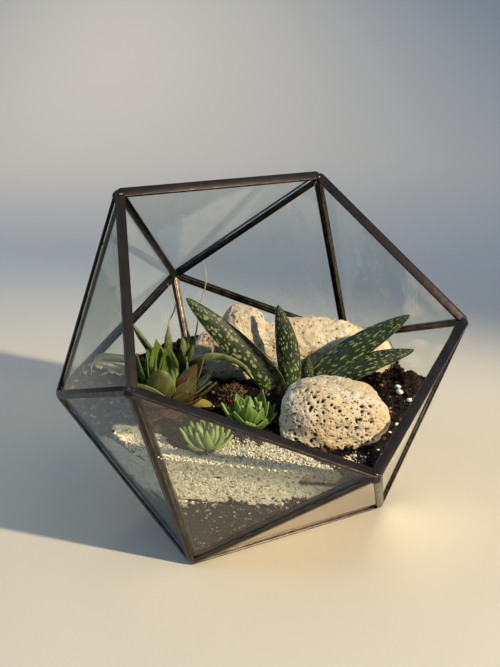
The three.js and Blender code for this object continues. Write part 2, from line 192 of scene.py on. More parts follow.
def on_curve(points, t):
    """The point at t, from 0 to 1, on a smooth curve that passes through the points."""
    last = len(points) - 1
    i = min(int(t * last), last - 1)
    local = t * last - i
    b, c = points[i], points[i + 1]
    a = points[i - 1] if i else 2 * b - c
    d = points[i + 2] if i + 2 <= last else 2 * c - b
    ab, bc, cd = (math.sqrt((q - p).length) or 1 for p, q in ((a, b), (b, c), (c, d)))
    leave = ((b - a) / ab - (c - a) / (ab + bc) + (c - b) / bc) * bc
    reach = ((c - b) / bc - (d - b) / (bc + cd) + (d - c) / cd) * bc
    cubic = 2 * b - 2 * c + leave + reach
    square = 3 * c - 3 * b - 2 * leave - reach
    return ((cubic * local + square) * local + leave) * local + b


def leaf_width(t, widest, base, rounding, thread):
    """Relative width along a leaf, from its base to its tip."""
    if t < widest:
        share = base + (1 - base) * math.sin(t / widest * math.pi / 2)
    else:
        share = max(0.0, math.cos((t - widest) / (1 - widest) * math.pi / 2)) ** rounding
    if thread < 1:
        share = max(share, 0.35) * (1 - 0.75 * smoothstep(t, thread - 0.06, thread + 0.07))
    return share


def grow(bm, path, width, thickness, faces, widest=0.5, base=0.6, rounding=0.8, cup=0.0,
         keel=0.0, thin=0.0, thread=1.0, tone=0.5, around=16, along=26, wave=0.0, turn=0.0,
         fold=None):
    """Adds one closed leaf that follows a path from its root to its tip.

    Faces is the way its upper side looks. Widest is where along it the leaf is widest, base
    the share of that width at the root, and a low rounding makes a blunt tip. Cup hollows
    the upper side, keel ridges the other, thin sharpens the margins, and thread is where the
    leaf dries to a thread. Tone is its shade, or gives it for a place along. Wave bends it up
    and down, and turn twists it, in degrees. Fold is the side that a crease bends, how
    steeply, and where across the leaf the crease runs at its root and at its tip.
    """
    points = [Vector(point) for point in path]
    up = Vector(faces)
    rings = []
    for j in range(along + 1):
        s = j / along
        t = 1 - (1 - s) ** 1.5
        at = on_curve(points, t)
        run = on_curve(points, min(1, t + 0.01)) - on_curve(points, max(0, t - 0.01))
        run.normalize()
        side = Quaternion(run, math.radians(turn * t)) @ run.cross(up).normalized()
        face = side.cross(run)
        end = 0 if j in (0, along) else 1
        wide = end * width / 2 * leaf_width(t, widest, base, rounding, thread)
        thick = end * thickness / 2 * (1 - 0.6 * t)
        if thread < 1:
            thick = min(thick, wide)
        at += face * wave * math.sin(9 * t) * t
        rings.append((t, at, side, face, wide, thick, tone(t) if callable(tone) else tone))
    made = bmesh.ops.create_grid(bm, x_segments=around, y_segments=along, size=0.5,
                                 calc_uvs=True)["verts"]
    tones = bm.verts.layers.float["tone"]
    for vert in made:
        t, at, side, face, wide, thick, shade = rings[round((vert.co.y + 0.5) * along)]
        angle = math.tau * (vert.co.x + 0.5)
        across, out = math.cos(angle), math.sin(angle)
        height = math.copysign(abs(out) ** (1 + thin), out) * thick
        if out < 0:
            height *= 1 + keel * (1 - abs(across)) ** 1.5
        height += cup * wide * (across * across - 0.4)
        if fold:
            way, steep, low, high = fold
            beyond = max(0.0, way * (across - low - (high - low) * t))
            height += steep * wide * beyond
        vert.co = at + side * across * wide + face * height
        vert[tones] = shade
    bmesh.ops.remove_doubles(bm, verts=made, dist=1e-4)


def facing(bm, way, least, keep):
    """Middle and normal of the faces that look that way and that keep accepts, and the
    running sum of their areas, as a draw's choices take them."""
    found, total, sums = [], 0.0, []
    for face in bm.faces:
        middle = face.calc_center_median()
        if face.normal.dot(way) > least and keep(middle):
            total += face.calc_area()
            found.append((middle.copy(), face.normal.copy()))
            sums.append(total)
    return {"population": found, "cum_weights": sums}


def crumb_shapes(draw, count, uneven):
    """A few small angular lumps of radius 1, for pieces made of many."""
    shapes = []
    for number in range(count):
        bm = bmesh.new()
        bmesh.ops.create_icosphere(bm, subdivisions=1, radius=1)
        for vert in bm.verts:
            vert.co *= 1 + draw.uniform(-uneven, uneven)
        mesh = mesh_of(f"crumb_{number}", bm)
        mesh.attributes.new("tone", "FLOAT", "POINT")
        shapes.append(mesh)
    return shapes


def strew(bm, draw, shapes, at, size, tone):
    """Adds one small lump at a place, turned at random."""
    shape = draw.choice(shapes)
    turned = Quaternion([draw.gauss(0, 1) for _ in range(4)]).normalized()
    matrix = Matrix.Translation(at) @ turned.to_matrix().to_4x4() @ Matrix.Diagonal((*size, 1))
    shape.transform(matrix)
    shape.attributes["tone"].data.foreach_set("value", [tone] * len(shape.vertices))
    bm.from_mesh(shape)
    shape.transform(matrix.inverted())


def remeshed(name, cell):
    """A CAD node's shape as an even mesh of cells of that many millimetres."""
    bm = cad_copy(name)
    bmesh.ops.scale(bm, vec=(MM,) * 3, verts=bm.verts)
    mesh = mesh_of("rough_" + name, bm)
    rough = set_up("rough_" + name, mesh)
    even = rough.modifiers.new("Even", "REMESH")
    even.mode = "VOXEL"
    even.voxel_size = cell * MM
    bm = blank()
    bm.from_object(rough, bpy.context.evaluated_depsgraph_get())
    bpy.data.objects.remove(rough)
    bpy.data.meshes.remove(mesh)
    bmesh.ops.scale(bm, vec=(1 / MM,) * 3, verts=bm.verts)
    bm.normal_update()
    return bm


LOW_LEFT = Vector((-50, -28.87, 0))  # the corner that the two front left panes stand on
UP = Vector((0, 0, 1))
PANE_OUT = Vector((-0.577, -0.746, -0.333))  # the way that the front left pane looks
LEFT_OUT = Vector((-0.934, -0.127, -0.333))  # the way that the left pane looks


def soil_height(x, y):
    """Height of the potting soil, in millimetres, as the frame has it."""
    front = 7 * smoothstep(-y, 38, 86)
    left = 3.5 * smoothstep(-x - 0.35 * y, 42, 66)
    return 63 - front - left + 0.6 * math.sin(x / 8) * math.cos(y / 9)


def sand_height(x, y):
    """Height of the sand bank, in millimetres, as the frame has it."""
    bank = 3 * smoothstep(-x, 20, 70) - 7 * smoothstep(y, -30, 5)
    return 58 + bank + 0.4 * math.sin(x / 9 + y / 7)


def sand_cover(at):
    """1 where the sand bank lies over the soil by the two front left panes, 0 off it."""
    reaches = (
        (PANE_OUT, (10 + 7 * smoothstep(at.x, -54, -40)) * smoothstep(-at.x, 4, 18)),
        (LEFT_OUT, 13 * smoothstep(-at.y, -8, 10)))
    ragged = 3.0 * noise.noise(at / 5) + 2.2 * noise.noise(at / 1.7)
    over = max(reach + ragged - (LOW_LEFT - at).dot(out) for out, reach in reaches)
    return smoothstep(over, -0.3, 0.6)


# ---------------------------------------------------------------- the glass figure's corners

def corner_places():
    """Every corner of the figure but the one left off, in millimetres."""
    golden = (1 + math.sqrt(5)) / 2
    narrow = EDGE / math.sqrt(3)
    wide = golden * narrow
    levels = [(narrow, 0.0, 90), (wide, narrow, 30), (wide, wide, 90),
              (narrow, golden * wide, 30)]
    found = []
    for radius, height, start in levels:
        for angle in (start, start + 120, start + 240):
            turn = math.radians(angle)
            found.append(Vector((radius * math.cos(turn), radius * math.sin(turn), height)))
    found.pop()
    found[-1] += Vector((-2, 1.8, 1.7))  # soldered a little outside the true figure
    return found


# ---------------------------------------------------------------- stones

STONE_TURN = math.radians(-28.5)  # all the stones lie with their long side this way
# The lumps of each stone: middle, half sizes, and a seed for their unevenness.
STONES = {
    "front_stone": [((6, -52, 67), (23, 15.5, 14.2), 2)],
    "rear_stone": [((35, 7, 71), (20.5, 13, 16), 4), ((55, -4, 69), (15, 12, 11), 2)],
    "side_stone": [((-6.5, 18, 72.5), (17.5, 10, 12), 1),
                   ((-0.2, 13.8, 85.6), (9.3, 8, 10), 3), ((12, 12, 76), (12, 9, 11), 5)],
    "left_stone": [((-54, 47, 63), (11, 8, 5.5), 5)],
}
MERGING = 7.0  # how sharply the lumps of one stone meet
STONE_REACH = 60.0  # further from its middle than any stone goes
HALVINGS = 13  # of that reach, which find the skin to about a hundredth of a millimetre


def lump_level(point, lump):
    """Below 1 inside a rounded, uneven lump and above 1 outside it."""
    at, size, seed = lump
    local = Matrix.Rotation(-STONE_TURN, 3, "Z") @ (point - Vector(at))
    local = Vector((local.x / size[0], local.y / size[1], local.z / size[2]))
    way = local.normalized()
    swell = (0.05 * math.sin(3 * way.x + seed) + 0.05 * math.sin(4 * way.y + 2 * seed)
             + 0.04 * math.sin(5 * way.z + 2 * way.x + 3 * seed))
    return sum(abs(part) ** 2.6 for part in local) ** (1 / 2.6) / (1 + swell)


def stone_body(lumps, fineness):
    """A closed skin round the lumps, filleted where they meet."""
    middle = sum((Vector(at) for at, _, _ in lumps), Vector()) / len(lumps)
    bm = blank()
    bmesh.ops.create_icosphere(bm, subdivisions=fineness, radius=1)
    for vert in bm.verts:
        way = vert.co.normalized()
        near, far = 0.0, STONE_REACH
        for _ in range(HALVINGS):
            half = (near + far) / 2
            joint = sum(math.exp(-MERGING * lump_level(middle + way * half, lump))
                        for lump in lumps)
            inside = joint > math.exp(-MERGING)
            near, far = (half, far) if inside else (near, half)
        vert.co = middle + way * near
    bmesh.ops.subdivide_edges(bm, edges=bm.edges[:], cuts=1, use_grid_fill=True)
    bm.normal_update()
    return bm


def pit_depth(point, cell, share, smallest, largest):
    """How deep a point lies in a pit, from 0 to 1, for pits spread one to a cell."""
    distances, centres = noise.voronoi(point / cell)
    chance = noise.noise(centres[0] * 9.7) + 0.5
    if chance > share:
        return 0.0
    radius = smallest + (largest - smallest) * max(0.0, chance / share)
    ragged = 1 + 0.14 * noise.noise(point * 1.6)
    return smoothstep(1 - distances[0] * cell / (radius * ragged), 0.0, 0.5)


def weather(bm, uneven, coarse, pits, hollows=()):
    """Makes a stone's skin uneven, sinks pits in it, and a few wide hollows, and keeps how
    deep each point lies as its tone, which the stone's finish paints as shade.
    """
    tones = bm.verts.layers.float["tone"]
    moved = []
    for vert in bm.verts:
        point = vert.co
        rise = (uneven * (0.9 * noise.noise(point / 9) + 0.45 * noise.noise(point / 3.5))
                + coarse * (noise.noise(point / 1.7) + 0.6 * noise.noise(point / 0.8)))
        deep = 0.0
        for cell, share, smallest, largest, depth in pits:
            part = pit_depth(point, cell, share, smallest, largest)
            deep = max(deep, part)
            rise -= part * depth
        for at, radius, depth in hollows:
            part = smoothstep(1 - (point - Vector(at)).length / radius, 0.0, 0.8)
            deep = max(deep, 0.55 * part)
            rise -= part * depth
        moved.append((vert, rise, deep))
    for vert, rise, deep in moved:
        vert.co += vert.normal * rise
        # how deep a point lies in a pit or hollow is kept for the painted shade there
        vert[tones] = deep


def rock(name, light, warm, dark, pit_shade, pore):
    """Porous pale stone: sunny cream, with greyer weathered patches and pores that stand that
    many millimetres apart. The pores and the sunk pits are darkened with painted shade."""
    def build(add, where):
        broad = patches(add, where, 10, 0.4, 0.62, detail=4)
        fine = patches(add, where, 1.5, 0.5, 0.76, 0.6, detail=5, rough=0.7)
        cells = add("TexVoronoi", {"Vector": where, "Scale": per_mm(pore)})
        chance = add("Math", {0: cells.outputs["Color"], 1: 0.5}, operation="LESS_THAN")
        round_hole = add("MapRange", {0: cells.outputs["Distance"], 1: 0.32, 2: 0.16}, **SOFT)
        tiny = add("Math", {0: round_hole, 1: chance}, **TIMES)
        pore_shade_share = add("Math", {0: tiny, 1: 0.75}, **TIMES)
        pit = add("Attribute", attribute_name="tone").outputs["Fac"]
        deep = add("MapRange", {0: pit, 1: 0.25, 2: 0.85, 4: 0.95}, **SOFT)
        bumpy = patches(add, where, 1.1, 0.3, 0.7, detail=5, rough=0.75)
        # the last two coats are painted shade in the small pores and the sunk pits
        coats = [(broad, warm), (fine, dark), (pore_shade_share, pit_shade), (deep, pit_shade)]
        return light, coats, [(bumpy, 0.5), (tiny, -0.4)], {}
    return material(name, build, roughness=0.9, ior=1.5)


# ---------------------------------------------------------------- settings

def colour_setting(name, description, code):
    """A colour that a user can change."""
    return FloatVectorProperty(name=name, description=description, default=linear(code),
                               min=0, max=1, subtype="COLOR")


def share_setting(name, description, share, most=0.5):
    """A share that a user can change, from none to the most."""
    return FloatProperty(name=name, description=description, default=share, min=0, max=most,
                         subtype="FACTOR")


def size_setting(name, description, size, least, most):
    """A size that a user can change, given in millimetres and kept in metres."""
    return FloatProperty(name=name, description=description, default=size * MM,
                         min=least * MM, max=most * MM, subtype="DISTANCE", precision=5)


def count_setting(name, description, count, most, least=0):
    """A whole number that a user can change."""
    return IntProperty(name=name, description=description, default=count, min=least,
                       max=most)


def power_setting(name, description, power):
    """A lamp's power that a user can change."""
    return FloatProperty(name=name, description=description, default=power, min=0,
                         subtype="POWER")


class TerrariumGlass(PropertyGroup):
    tint: colour_setting("Tint", "Colour of the glass", "f1f6f3")
    haze: share_setting(
        "Haze", "Share of light that the smears on the far panes scatter", 0.3)
    touch: share_setting(
        "Touch marks", "Share of light that marks on the near panes scatter", 0.015)
    # the low panes' dust colour and film also stand in for the lit floor they reflect: painted
    # reflection
    dust: colour_setting("Dust", "Colour of the low panes with their dried dust", "d2bd97")
    film: share_setting(
        "Film", "Share of light that the dust on the low panes scatters", 0.22, 0.8)


class TerrariumStrips(PropertyGroup):
    patina: colour_setting("Patina", "Colour of the aged metal", "352b24")
    worn: colour_setting("Worn edge", "Colour where the patina is rubbed off", "80705c")
    rounding: size_setting(
        "Edge rounding", "Width of the rounded edge of a strip", 0.22, 0.05, 0.4)
    bead: size_setting("Solder bead", "Radius of the solder at a corner", 2.7, 1, 4)


class TerrariumFill(PropertyGroup):
    grit: colour_setting("Grit", "Colour of the drainage grit", "1d1a12")
    sand: colour_setting("Sand", "Colour of the sand", "e2d6ba")
    soil: colour_setting("Soil", "Colour of the potting soil", "1c130c")
    grain: size_setting("Grain size", "Size of a sand grain", 0.85, 0.3, 2)
    sand_grains: count_setting(
        "Loose grains", "Sand grains that lie loose on the bank", 2600, 6000)
    crumbs: count_setting("Crumbs", "Soil crumbs that lie loose on top", 5200, 9000)


class TerrariumStones(PropertyGroup):
    fineness: count_setting("Fineness", "Subdivisions of each stone's skin", 6, 6, 3)
    cream: colour_setting("Cream", "Colour of the stones where they are clean", "fbeccc")
    # the colour laid in the pores and pits as painted shade
    pit_shade: colour_setting("Hole", "Colour deep inside a pore", "46301d")


class TerrariumPlants(PropertyGroup):
    gasteria: colour_setting("Gasteria", "Ground colour of the spotted leaves", "18220f")
    spots: colour_setting("Spots", "Colour of the spots on them", "8f9a68")
    bright: colour_setting("Haworthia", "Colour of the small haworthia", "4f7126")
    pale: colour_setting(
        "Pale haworthia", "Colour of the haworthia behind the glass", "7d9447")


class TerrariumStage(PropertyGroup):
    floor: colour_setting("Floor", "Colour of the floor", "d5cebf")
    # the wall colour, darker and cooler than the floor, is painted shade on the wall
    wall: colour_setting("Wall", "Colour of the sweep behind", "bdc6cd")
    key: power_setting("Key light", "Power of the warm lamp at the right", 164.0)
    wash: power_setting("Wash light", "Power of the lamp that lights the sweep", 38.0)
    rim: power_setting("Rim light", "Power of the cool lamp at the left", 5.5)
    sky: FloatProperty(name="Sky light", description="Strength of the light from all round",
                       default=1.12, min=0)
    lens: FloatProperty(name="Lens", description="Focal length in millimetres",
                        default=52.31, min=20, max=200)


class TerrariumSettings(PropertyGroup):
    glass: PointerProperty(type=TerrariumGlass)
    strips: PointerProperty(type=TerrariumStrips)
    fill: PointerProperty(type=TerrariumFill)
    stones: PointerProperty(type=TerrariumStones)
    plants: PointerProperty(type=TerrariumPlants)
    stage: PointerProperty(type=TerrariumStage)


# ---------------------------------------------------------------- glass and metal

def float_glass(name, tint, film, haze):
    """Float glass, cut and wiped by hand: clear, with a film of dust left in wiped streaks."""
    def build(add, where):
        wiped = add("Mapping", {"Vector": where, "Rotation": (0.5, 0.3, 0.9),
                                "Scale": (1, 3, 1)})
        smear = patches(add, wiped, 26, 0.46, 0.76, detail=6, rough=0.62, bend=1.0)
        specks = patches(add, wiped, 4, 0.36, 0.68, detail=5, rough=0.7, bend=1.5)
        dust = add("Math", {0: smear, 1: specks}, **TIMES)
        clear = add("MapRange", {0: dust, 3: 1 - film, 4: 1 - film - haze})
        rough = add("MapRange", {0: dust, 4: 0.06})
        return tint, [], [], {"Transmission Weight": clear, "Roughness": rough}
    return material(name, build, ior=1.5)


def patinated_brass(name, settings, gloss, black=0.0):
    """Brass strip with a dark chemical patina under wax: soft dull reflections that brighten
    at a low angle, streaks along it, and bare paler metal along its rubbed edges."""
    def build(add, where):
        cloud = patches(add, where, 7, 0.33, 0.7, detail=5, rough=0.6, bend=0.4)
        fine = patches(add, where, 0.7, 0.5, 0.8, detail=4, rough=0.7)
        faint = add("Math", {0: fine, 1: 0.35}, **TIMES)
        edge = add("Attribute", attribute_name="worn").outputs["Fac"]
        bare = patches(add, where, 3, 0.32, 0.66, 0.85, detail=4)
        rubbed = add("Math", {0: edge, 1: bare}, **TIMES)
        waves = patches(add, where, 6, 0.3, 0.7, detail=2)
        rough = add("MapRange", {0: cloud, 3: gloss + 0.14, 4: gloss})
        # black is a share of painted shade: near-black over the back seams, with less coat to
        # reflect
        coats = [(cloud, settings.patina), (faint, "15110e"), (black, "080706"),
                 (rubbed, settings.worn)]
        return "1c1713", coats, [(waves, 0.12), (fine, 0.03)], {"Roughness": rough}
    return material(name, build, metallic=0.6, coat_weight=0.3 * (1 - black),
                    coat_roughness=0.3)


# These panes are wiped clean. The far ones keep their smears, and the low ones their dust,
# whose warm film also paints in the reflection of the lit floor.
NEAR_PANES = ("side_pane_left", "side_pane_front_left", "side_pane_front_right",
              "side_pane_right", "rim_pane_left")
# The key light comes in low by the front and the right, and these panes throw most of it back.
SHADING_PANES = ("side_pane_back_left", "side_pane_back_right", "rim_pane_left",
                 "rim_pane_back_left", "rim_pane_back", "rim_pane_back_right")
PANES = 15  # the twenty faces of the figure but the five round the corner left off


class TERRARIUM_OT_glass(Operator):
    """Gives the fifteen panes their glass"""
    bl_idname = "terrarium.glass"
    bl_label = "Glass Panes"

    def execute(self, context):
        settings = context.scene.terrarium.glass
        clear = float_glass("float_glass", settings.tint, 0.0, settings.touch)
        smeared = float_glass("smeared_float_glass", settings.tint, 0.0, settings.haze)
        # the low panes' dust film, warm like the floor, is partly painted reflection of the
        # lit floor
        dust_and_floor_reflection = float_glass("dusty_float_glass", settings.dust, settings.film, settings.haze)
        panes = [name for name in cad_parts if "_pane" in name]
        if len(panes) != PANES:
            raise RuntimeError(f"{PANES} panes are expected, and the frame has {len(panes)}")
        for name in panes:
            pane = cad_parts[name]
            pane.visible_shadow = name in SHADING_PANES
            finish = clear if name in NEAR_PANES else smeared
            if name.startswith("base_pane"):
                finish = dust_and_floor_reflection
            for holder in pane.material_slots:
                holder.material = finish
        return {"FINISHED"}


FLAT = math.radians(2)  # faces that meet at less than this become one
SHARP = math.radians(25)  # an edge sharper than this is rounded
CREASED = math.radians(40)  # and one that is still sharper than this shows as a line


class TERRARIUM_OT_strips(Operator):
    """Makes the metal strip on every pane edge, with rounded and rubbed edges"""
    bl_idname = "terrarium.strips"
    bl_label = "Metal Strips"

    def execute(self, context):
        settings = context.scene.terrarium.strips
        brass = patinated_brass("patinated_brass", settings, gloss=0.34)
        brass_with_painted_shade = patinated_brass("blackened_brass", settings, gloss=0.3, black=0.75)
        for name in sorted(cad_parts):
            if not name.startswith(("seam_", "rim_strip_")):
                continue
            bm = cad_copy(name)
            bmesh.ops.dissolve_limit(bm, angle_limit=FLAT, verts=bm.verts, edges=bm.edges)
            worn = bm.faces.layers.float.new("worn")
            sharp = [edge for edge in bm.edges
                     if edge.is_manifold and edge.calc_face_angle() > SHARP]
            rounded = bmesh.ops.bevel(bm, geom=sharp, affect="EDGES", segments=2,
                                      offset=settings.rounding / MM, profile=0.5,
                                      material=-1, clamp_overlap=True)
            for face in rounded["faces"]:
                face[worn] = 1.0
            # the seams at the back take the brass darkened with painted shade
            hidden = name.startswith("seam_") and "back" in name
            finish = brass_with_painted_shade if hidden else brass
            piece = place("metal_" + name, bm, finish, "metal_strip", [name])
            piece.data.set_sharp_from_angle(angle=CREASED)
        return {"FINISHED"}


BEAD_SUNK = 3.1  # from a corner of the figure in to the middle of its bead
BEAD_FLATTENED = 0.72


class TERRARIUM_OT_solder(Operator):
    """Makes the bead of solder that closes each corner"""
    bl_idname = "terrarium.solder"
    bl_label = "Solder Beads"

    def execute(self, context):
        settings = context.scene.terrarium.strips
        solder = patinated_brass("patinated_solder", settings, gloss=0.2)
        radius = settings.bead / MM
        corners = corner_places()
        bm = blank()
        for number, at in enumerate(corners):
            inward = sum(((other - at).normalized() for other in corners
                          if other != at and (other - at).length < 1.05 * EDGE), Vector())
            inward.normalize()
            turned = inward.to_track_quat("Z", "Y").to_matrix().to_4x4()
            matrix = (Matrix.Translation(at + inward * BEAD_SUNK) @ turned
                      @ Matrix.Diagonal((1, 1, BEAD_FLATTENED, 1)))
            bead = bmesh.ops.create_icosphere(bm, subdivisions=4, radius=radius,
                                              matrix=matrix)["verts"]
            for vert in bead:
                drip = 0.12 * noise.noise(vert.co / 1.7 + Vector((number, 0, 0)))
                vert.co += (vert.co - at - inward * BEAD_SUNK) * drip
        place("solder_beads", bm, solder, "metal_strip")
        return {"FINISHED"}


# ---------------------------------------------------------------- fill

def damp_peat(add, where, settings):
    """The colours of damp potting soil: near black, with brown crumbs and fibres, and paler
    crumbs by the left panes, where it has dried against the glass."""
    dark, cells = grains(add, where, 1.3, [
        (0.0, "030202"), (0.45, "0a0705"), (0.66, settings.soil), (0.79, "30211a"),
        (0.92, "6f5138")])
    cloud = patches(add, where, 5, 0.4, 0.72, 0.6, detail=5, rough=0.7)
    dark = add("Mix", {0: cloud, 6: dark, 7: "0c0906"}, **MIX)
    side = add("SeparateXYZ", {"Vector": where}).outputs["X"]
    dried = add("MapRange", {0: side, 1: -0.052, 2: -0.060, 4: 0.85}, **SOFT)
    crumbs, _ = grains(add, where, 1.8, [
        (0.0, "060403"), (0.45, "0e0906"), (0.56, "563c29"), (0.66, "7d5d42"),
        (0.78, "0e0906"), (0.88, "cbbfa8")])
    return add("Mix", {0: dried, 6: dark, 7: crumbs}, **MIX), cells


def pale_sand(add, where, settings):
    """The colours of washed sand: cream grains with a few dark ones among them."""
    return grains(add, where, settings.grain / MM, [
        (0.0, "453e31"), (0.12, "85795f"), (0.22, "bcae90"), (0.42, settings.sand),
        (0.8, "f1e8d4"), (1.0, "fbf6ea")])


# In metres, from where one finish ends to where the next is whole.
SAND_LINE = (0.0508, 0.0512)  # the height where grit gives way to sand
SOIL_LINE = (0.0582, 0.0588)  # the height where sand gives way to soil
LEFT_EDGE = (-0.062, -0.063)  # the soil shows only left of this


def layered_fill(name, settings):
    """Sand over crushed lava, under soil at the back: cream grains, dark olive grit with pale
    specks below them, and ragged lines between where grains have run together."""
    def build(add, where):
        sand, cells = pale_sand(add, where, settings)
        # crushed lava is finer than this: the cells are drawn as coarse as can be seen
        grit, _ = grains(add, where, 0.9, [
            (0.0, "070605"), (0.4, "0f0d09"), (0.66, settings.grit), (0.78, "2f2a1f"),
            (0.84, "6f664e"), (0.93, "b8ae90")])
        axes = add("SeparateXYZ", {"Vector": where})
        dip = add("MapRange", {0: axes.outputs["X"], 1: -0.040, 2: -0.066, 4: 0.009}, **SOFT)
        level = add("Math", {0: axes.outputs["Z"], 1: dip})
        for size, reach in ((9, 0.012), (2.4, 0.006)):  # tongues of sand, then clumps
            ragged = patches(add, where, size, 0.25, 0.75, reach, detail=4, rough=0.7)
            level = add("Math", {0: level, 1: ragged})
        strays = add("TexVoronoi", {"Vector": where, "Scale": per_mm(1.3)})
        strayed = add("MapRange", {0: strays.outputs["Color"], 4: 0.005})
        level = add("Math", {0: level, 1: strayed})
        above = add("MapRange", {0: level, 1: SAND_LINE[0], 2: SAND_LINE[1]})
        soil, _ = damp_peat(add, where, settings)
        slope = add("Math", {0: axes.outputs["Y"], 1: 0.5, 2: axes.outputs["Z"]},
                    operation="MULTIPLY_ADD")
        slope = add("Math", {0: slope, 1: ragged})
        buried = add("MapRange", {0: slope, 1: SOIL_LINE[0], 2: SOIL_LINE[1]})
        aside = add("MapRange", {0: axes.outputs["X"], 1: LEFT_EDGE[0], 2: LEFT_EDGE[1]})
        buried = add("Math", {0: buried, 1: aside}, **TIMES)
        bumps = [(cells.outputs["Distance"], -0.22)]
        return grit, [(above, sand), (buried, soil)], bumps, {}
    return material(name, build, roughness=0.92, ior=1.5)


def peat(name, settings):
    """Peat potting soil with a dull moist gleam, and sand where it has been strewn on top."""
    def build(add, where):
        ground, cells = damp_peat(add, where, settings)
        tone = add("Attribute", attribute_name="tone").outputs["Fac"]
        strewn = add("Attribute", attribute_name="strewn").outputs["Fac"]
        sand, _ = pale_sand(add, where, settings)
        rough = patches(add, where, 1.0, 0.2, 0.8, detail=5, rough=0.8)
        return ground, [(tone, "3c2819"), (strewn, sand)], [(rough, 0.6), (cells, -0.4)], {}
    return material(name, build, roughness=0.85, ior=1.45, specular_ior_level=0.25)


def additives():
    """Perlite, bark and fired clay, which a potting mix is opened up with: chalky white,
    brown and orange bits."""
    def build(add, where):
        tone = add("Attribute", attribute_name="tone").outputs["Fac"]
        kind = add("ValToRGB", {"Fac": tone}, ramp=[
            (0.0, "f1ece0"), (0.30, "b9b4ab"), (0.34, "5d3c23"), (0.62, "2b1b10"),
            (0.68, "b45a2b"), (1.0, "7d3819")])
        fine = patches(add, where, 0.6, 0.45, 0.8, 0.4, detail=4, rough=0.7)
        return kind, [(fine, "3a3128")], [(fine, 0.15)], {}
    return material("perlite_bark_and_clay", build, roughness=0.88, ior=1.5)


COVER_TRIES = 12000  # places tried for the grains that lie over the soil's edge
SPILL_AT = Vector((-0.5, -75.5, 0))  # a spill of sand near the front corner
SPILL_GRAINS = 260

LOOSE_BITS, PRESSED_BITS = 320, 420  # on top of the soil, and against the left pane
# The draw that each kind takes up to, its sizes, its tones and its shape.
BITS = [
    (0.5, (0.25, 0.7), (0.0, 0.2), (1, 0.9, 0.8)),  # perlite
    (0.93, (0.8, 2.0), (0.36, 0.6), (1, 0.5, 0.3)),  # bark
    (1.0, (0.5, 0.9), (0.7, 1.0), (1, 1, 0.8)),  # fired clay
]
# Place, rise over the soil, spread, height and count of the crumbs heaped at the right
# glass and at the left stone.
HEAPS = [(60, -33, 0, 4.0, 6.0, 900), (-58, 33, 0, 6.0, 4.0, 500),
         (-63, 44, 4.0, 3.5, 2.0, 150)]
# Place, spread and count of the crumbs that fell on the sand.
FALLEN = [(-47.5, -43.5, 2.6, 90), (-33, -54, 3.0, 40)]
# Place, height over the soil, size and tone of the largest bits that lie on top.
LARGE_BITS = [
    (49.3, -38.0, 2.0, 1.5, 0.25), (47.3, -42.1, 1.8, 1.5, 0.22),
    (45.3, -31.1, 1.0, 1.0, 0.75), (47.4, -48.8, 1.0, 1.2, 0.1),
    (45.7, -52.7, 1.2, 1.4, 0.72), (25.8, -68.1, 1.0, 1.1, 0.74),
    (31.4, -61.2, 0.8, 1.0, 0.15), (25.1, -65.5, 0.8, 0.8, 0.05),
    (-8.4, 12.5, 1.0, 0.8, 0.0), (-3.4, -15.5, 0.8, 0.8, 0.0),
    (-23.0, -0.2, 0.9, 0.9, 0.05), (-27.4, 0.8, 0.8, 0.7, 0.1),
]


class TERRARIUM_OT_grit(Operator):
    """Makes the dark drainage grit at the bottom"""
    bl_idname = "terrarium.grit"
    bl_label = "Drainage Grit"

    def execute(self, context):
        settings = context.scene.terrarium.fill
        bm = remeshed("drainage_grit", cell=1.4)
        for vert in bm.verts:
            vert.co += vert.normal * 0.25 * noise.noise(vert.co / 1.6)
        place("crushed_lava", bm, layered_fill("crushed_lava", settings), "grit",
              ["drainage_grit"])
        return {"FINISHED"}


class TERRARIUM_OT_sand(Operator):
    """Makes the bank of pale sand with loose grains on it"""
    bl_idname = "terrarium.sand"
    bl_label = "Sand Bank"

    def execute(self, context):
        settings = context.scene.terrarium.fill
        finish = layered_fill("washed_sand", settings)
        bm = remeshed("sand_layer", cell=0.9)
        for vert in bm.verts:
            steep = 1 if vert.normal.z > 0.5 else 0.35
            vert.co += vert.normal * steep * (0.7 * noise.noise(vert.co / 4)
                                              + 0.4 * noise.noise(vert.co / 1.1))
        top = facing(bm, UP, 0.35, lambda at: at.z > sand_height(at.x, at.y) - 2.5)
        place("sand_bank", bm, finish, "sand", ["sand_layer"])
        draw = random.Random(5)
        shapes = crumb_shapes(draw, count=6, uneven=0.25)
        loose = blank()
        radius = settings.grain / MM / 2
        for at, up in draw.choices(**top, k=settings.sand_grains):
            size = radius * draw.uniform(0.7, 1.5)
            strew(loose, draw, shapes, at + up * size * 0.4, (size, size, size * 0.8), 0.0)
        for _ in range(COVER_TRIES):
            at = Vector((draw.uniform(-74, -6), draw.uniform(-84, -8), 60))
            if sand_cover(at) < draw.uniform(0.2, 1) or (LOW_LEFT - at).dot(PANE_OUT) < 3:
                continue
            size = radius * draw.uniform(0.6, 1.3)
            at.z = soil_height(at.x, at.y) + draw.uniform(0.1, 1.1)
            strew(loose, draw, shapes, at, (size, size, size * 0.8), 0.0)
        for _ in range(SPILL_GRAINS):
            at = SPILL_AT + Vector((draw.gauss(0, 3.0), draw.gauss(0, 1.7), 0))
            at.z = soil_height(at.x, at.y) + draw.uniform(0.2, 1.1)
            size = radius * draw.uniform(0.6, 1.2)
            strew(loose, draw, shapes, at, (size, size, size), 0.0)
        place("loose_sand", loose, finish, "sand", smooth=False)
        return {"FINISHED"}


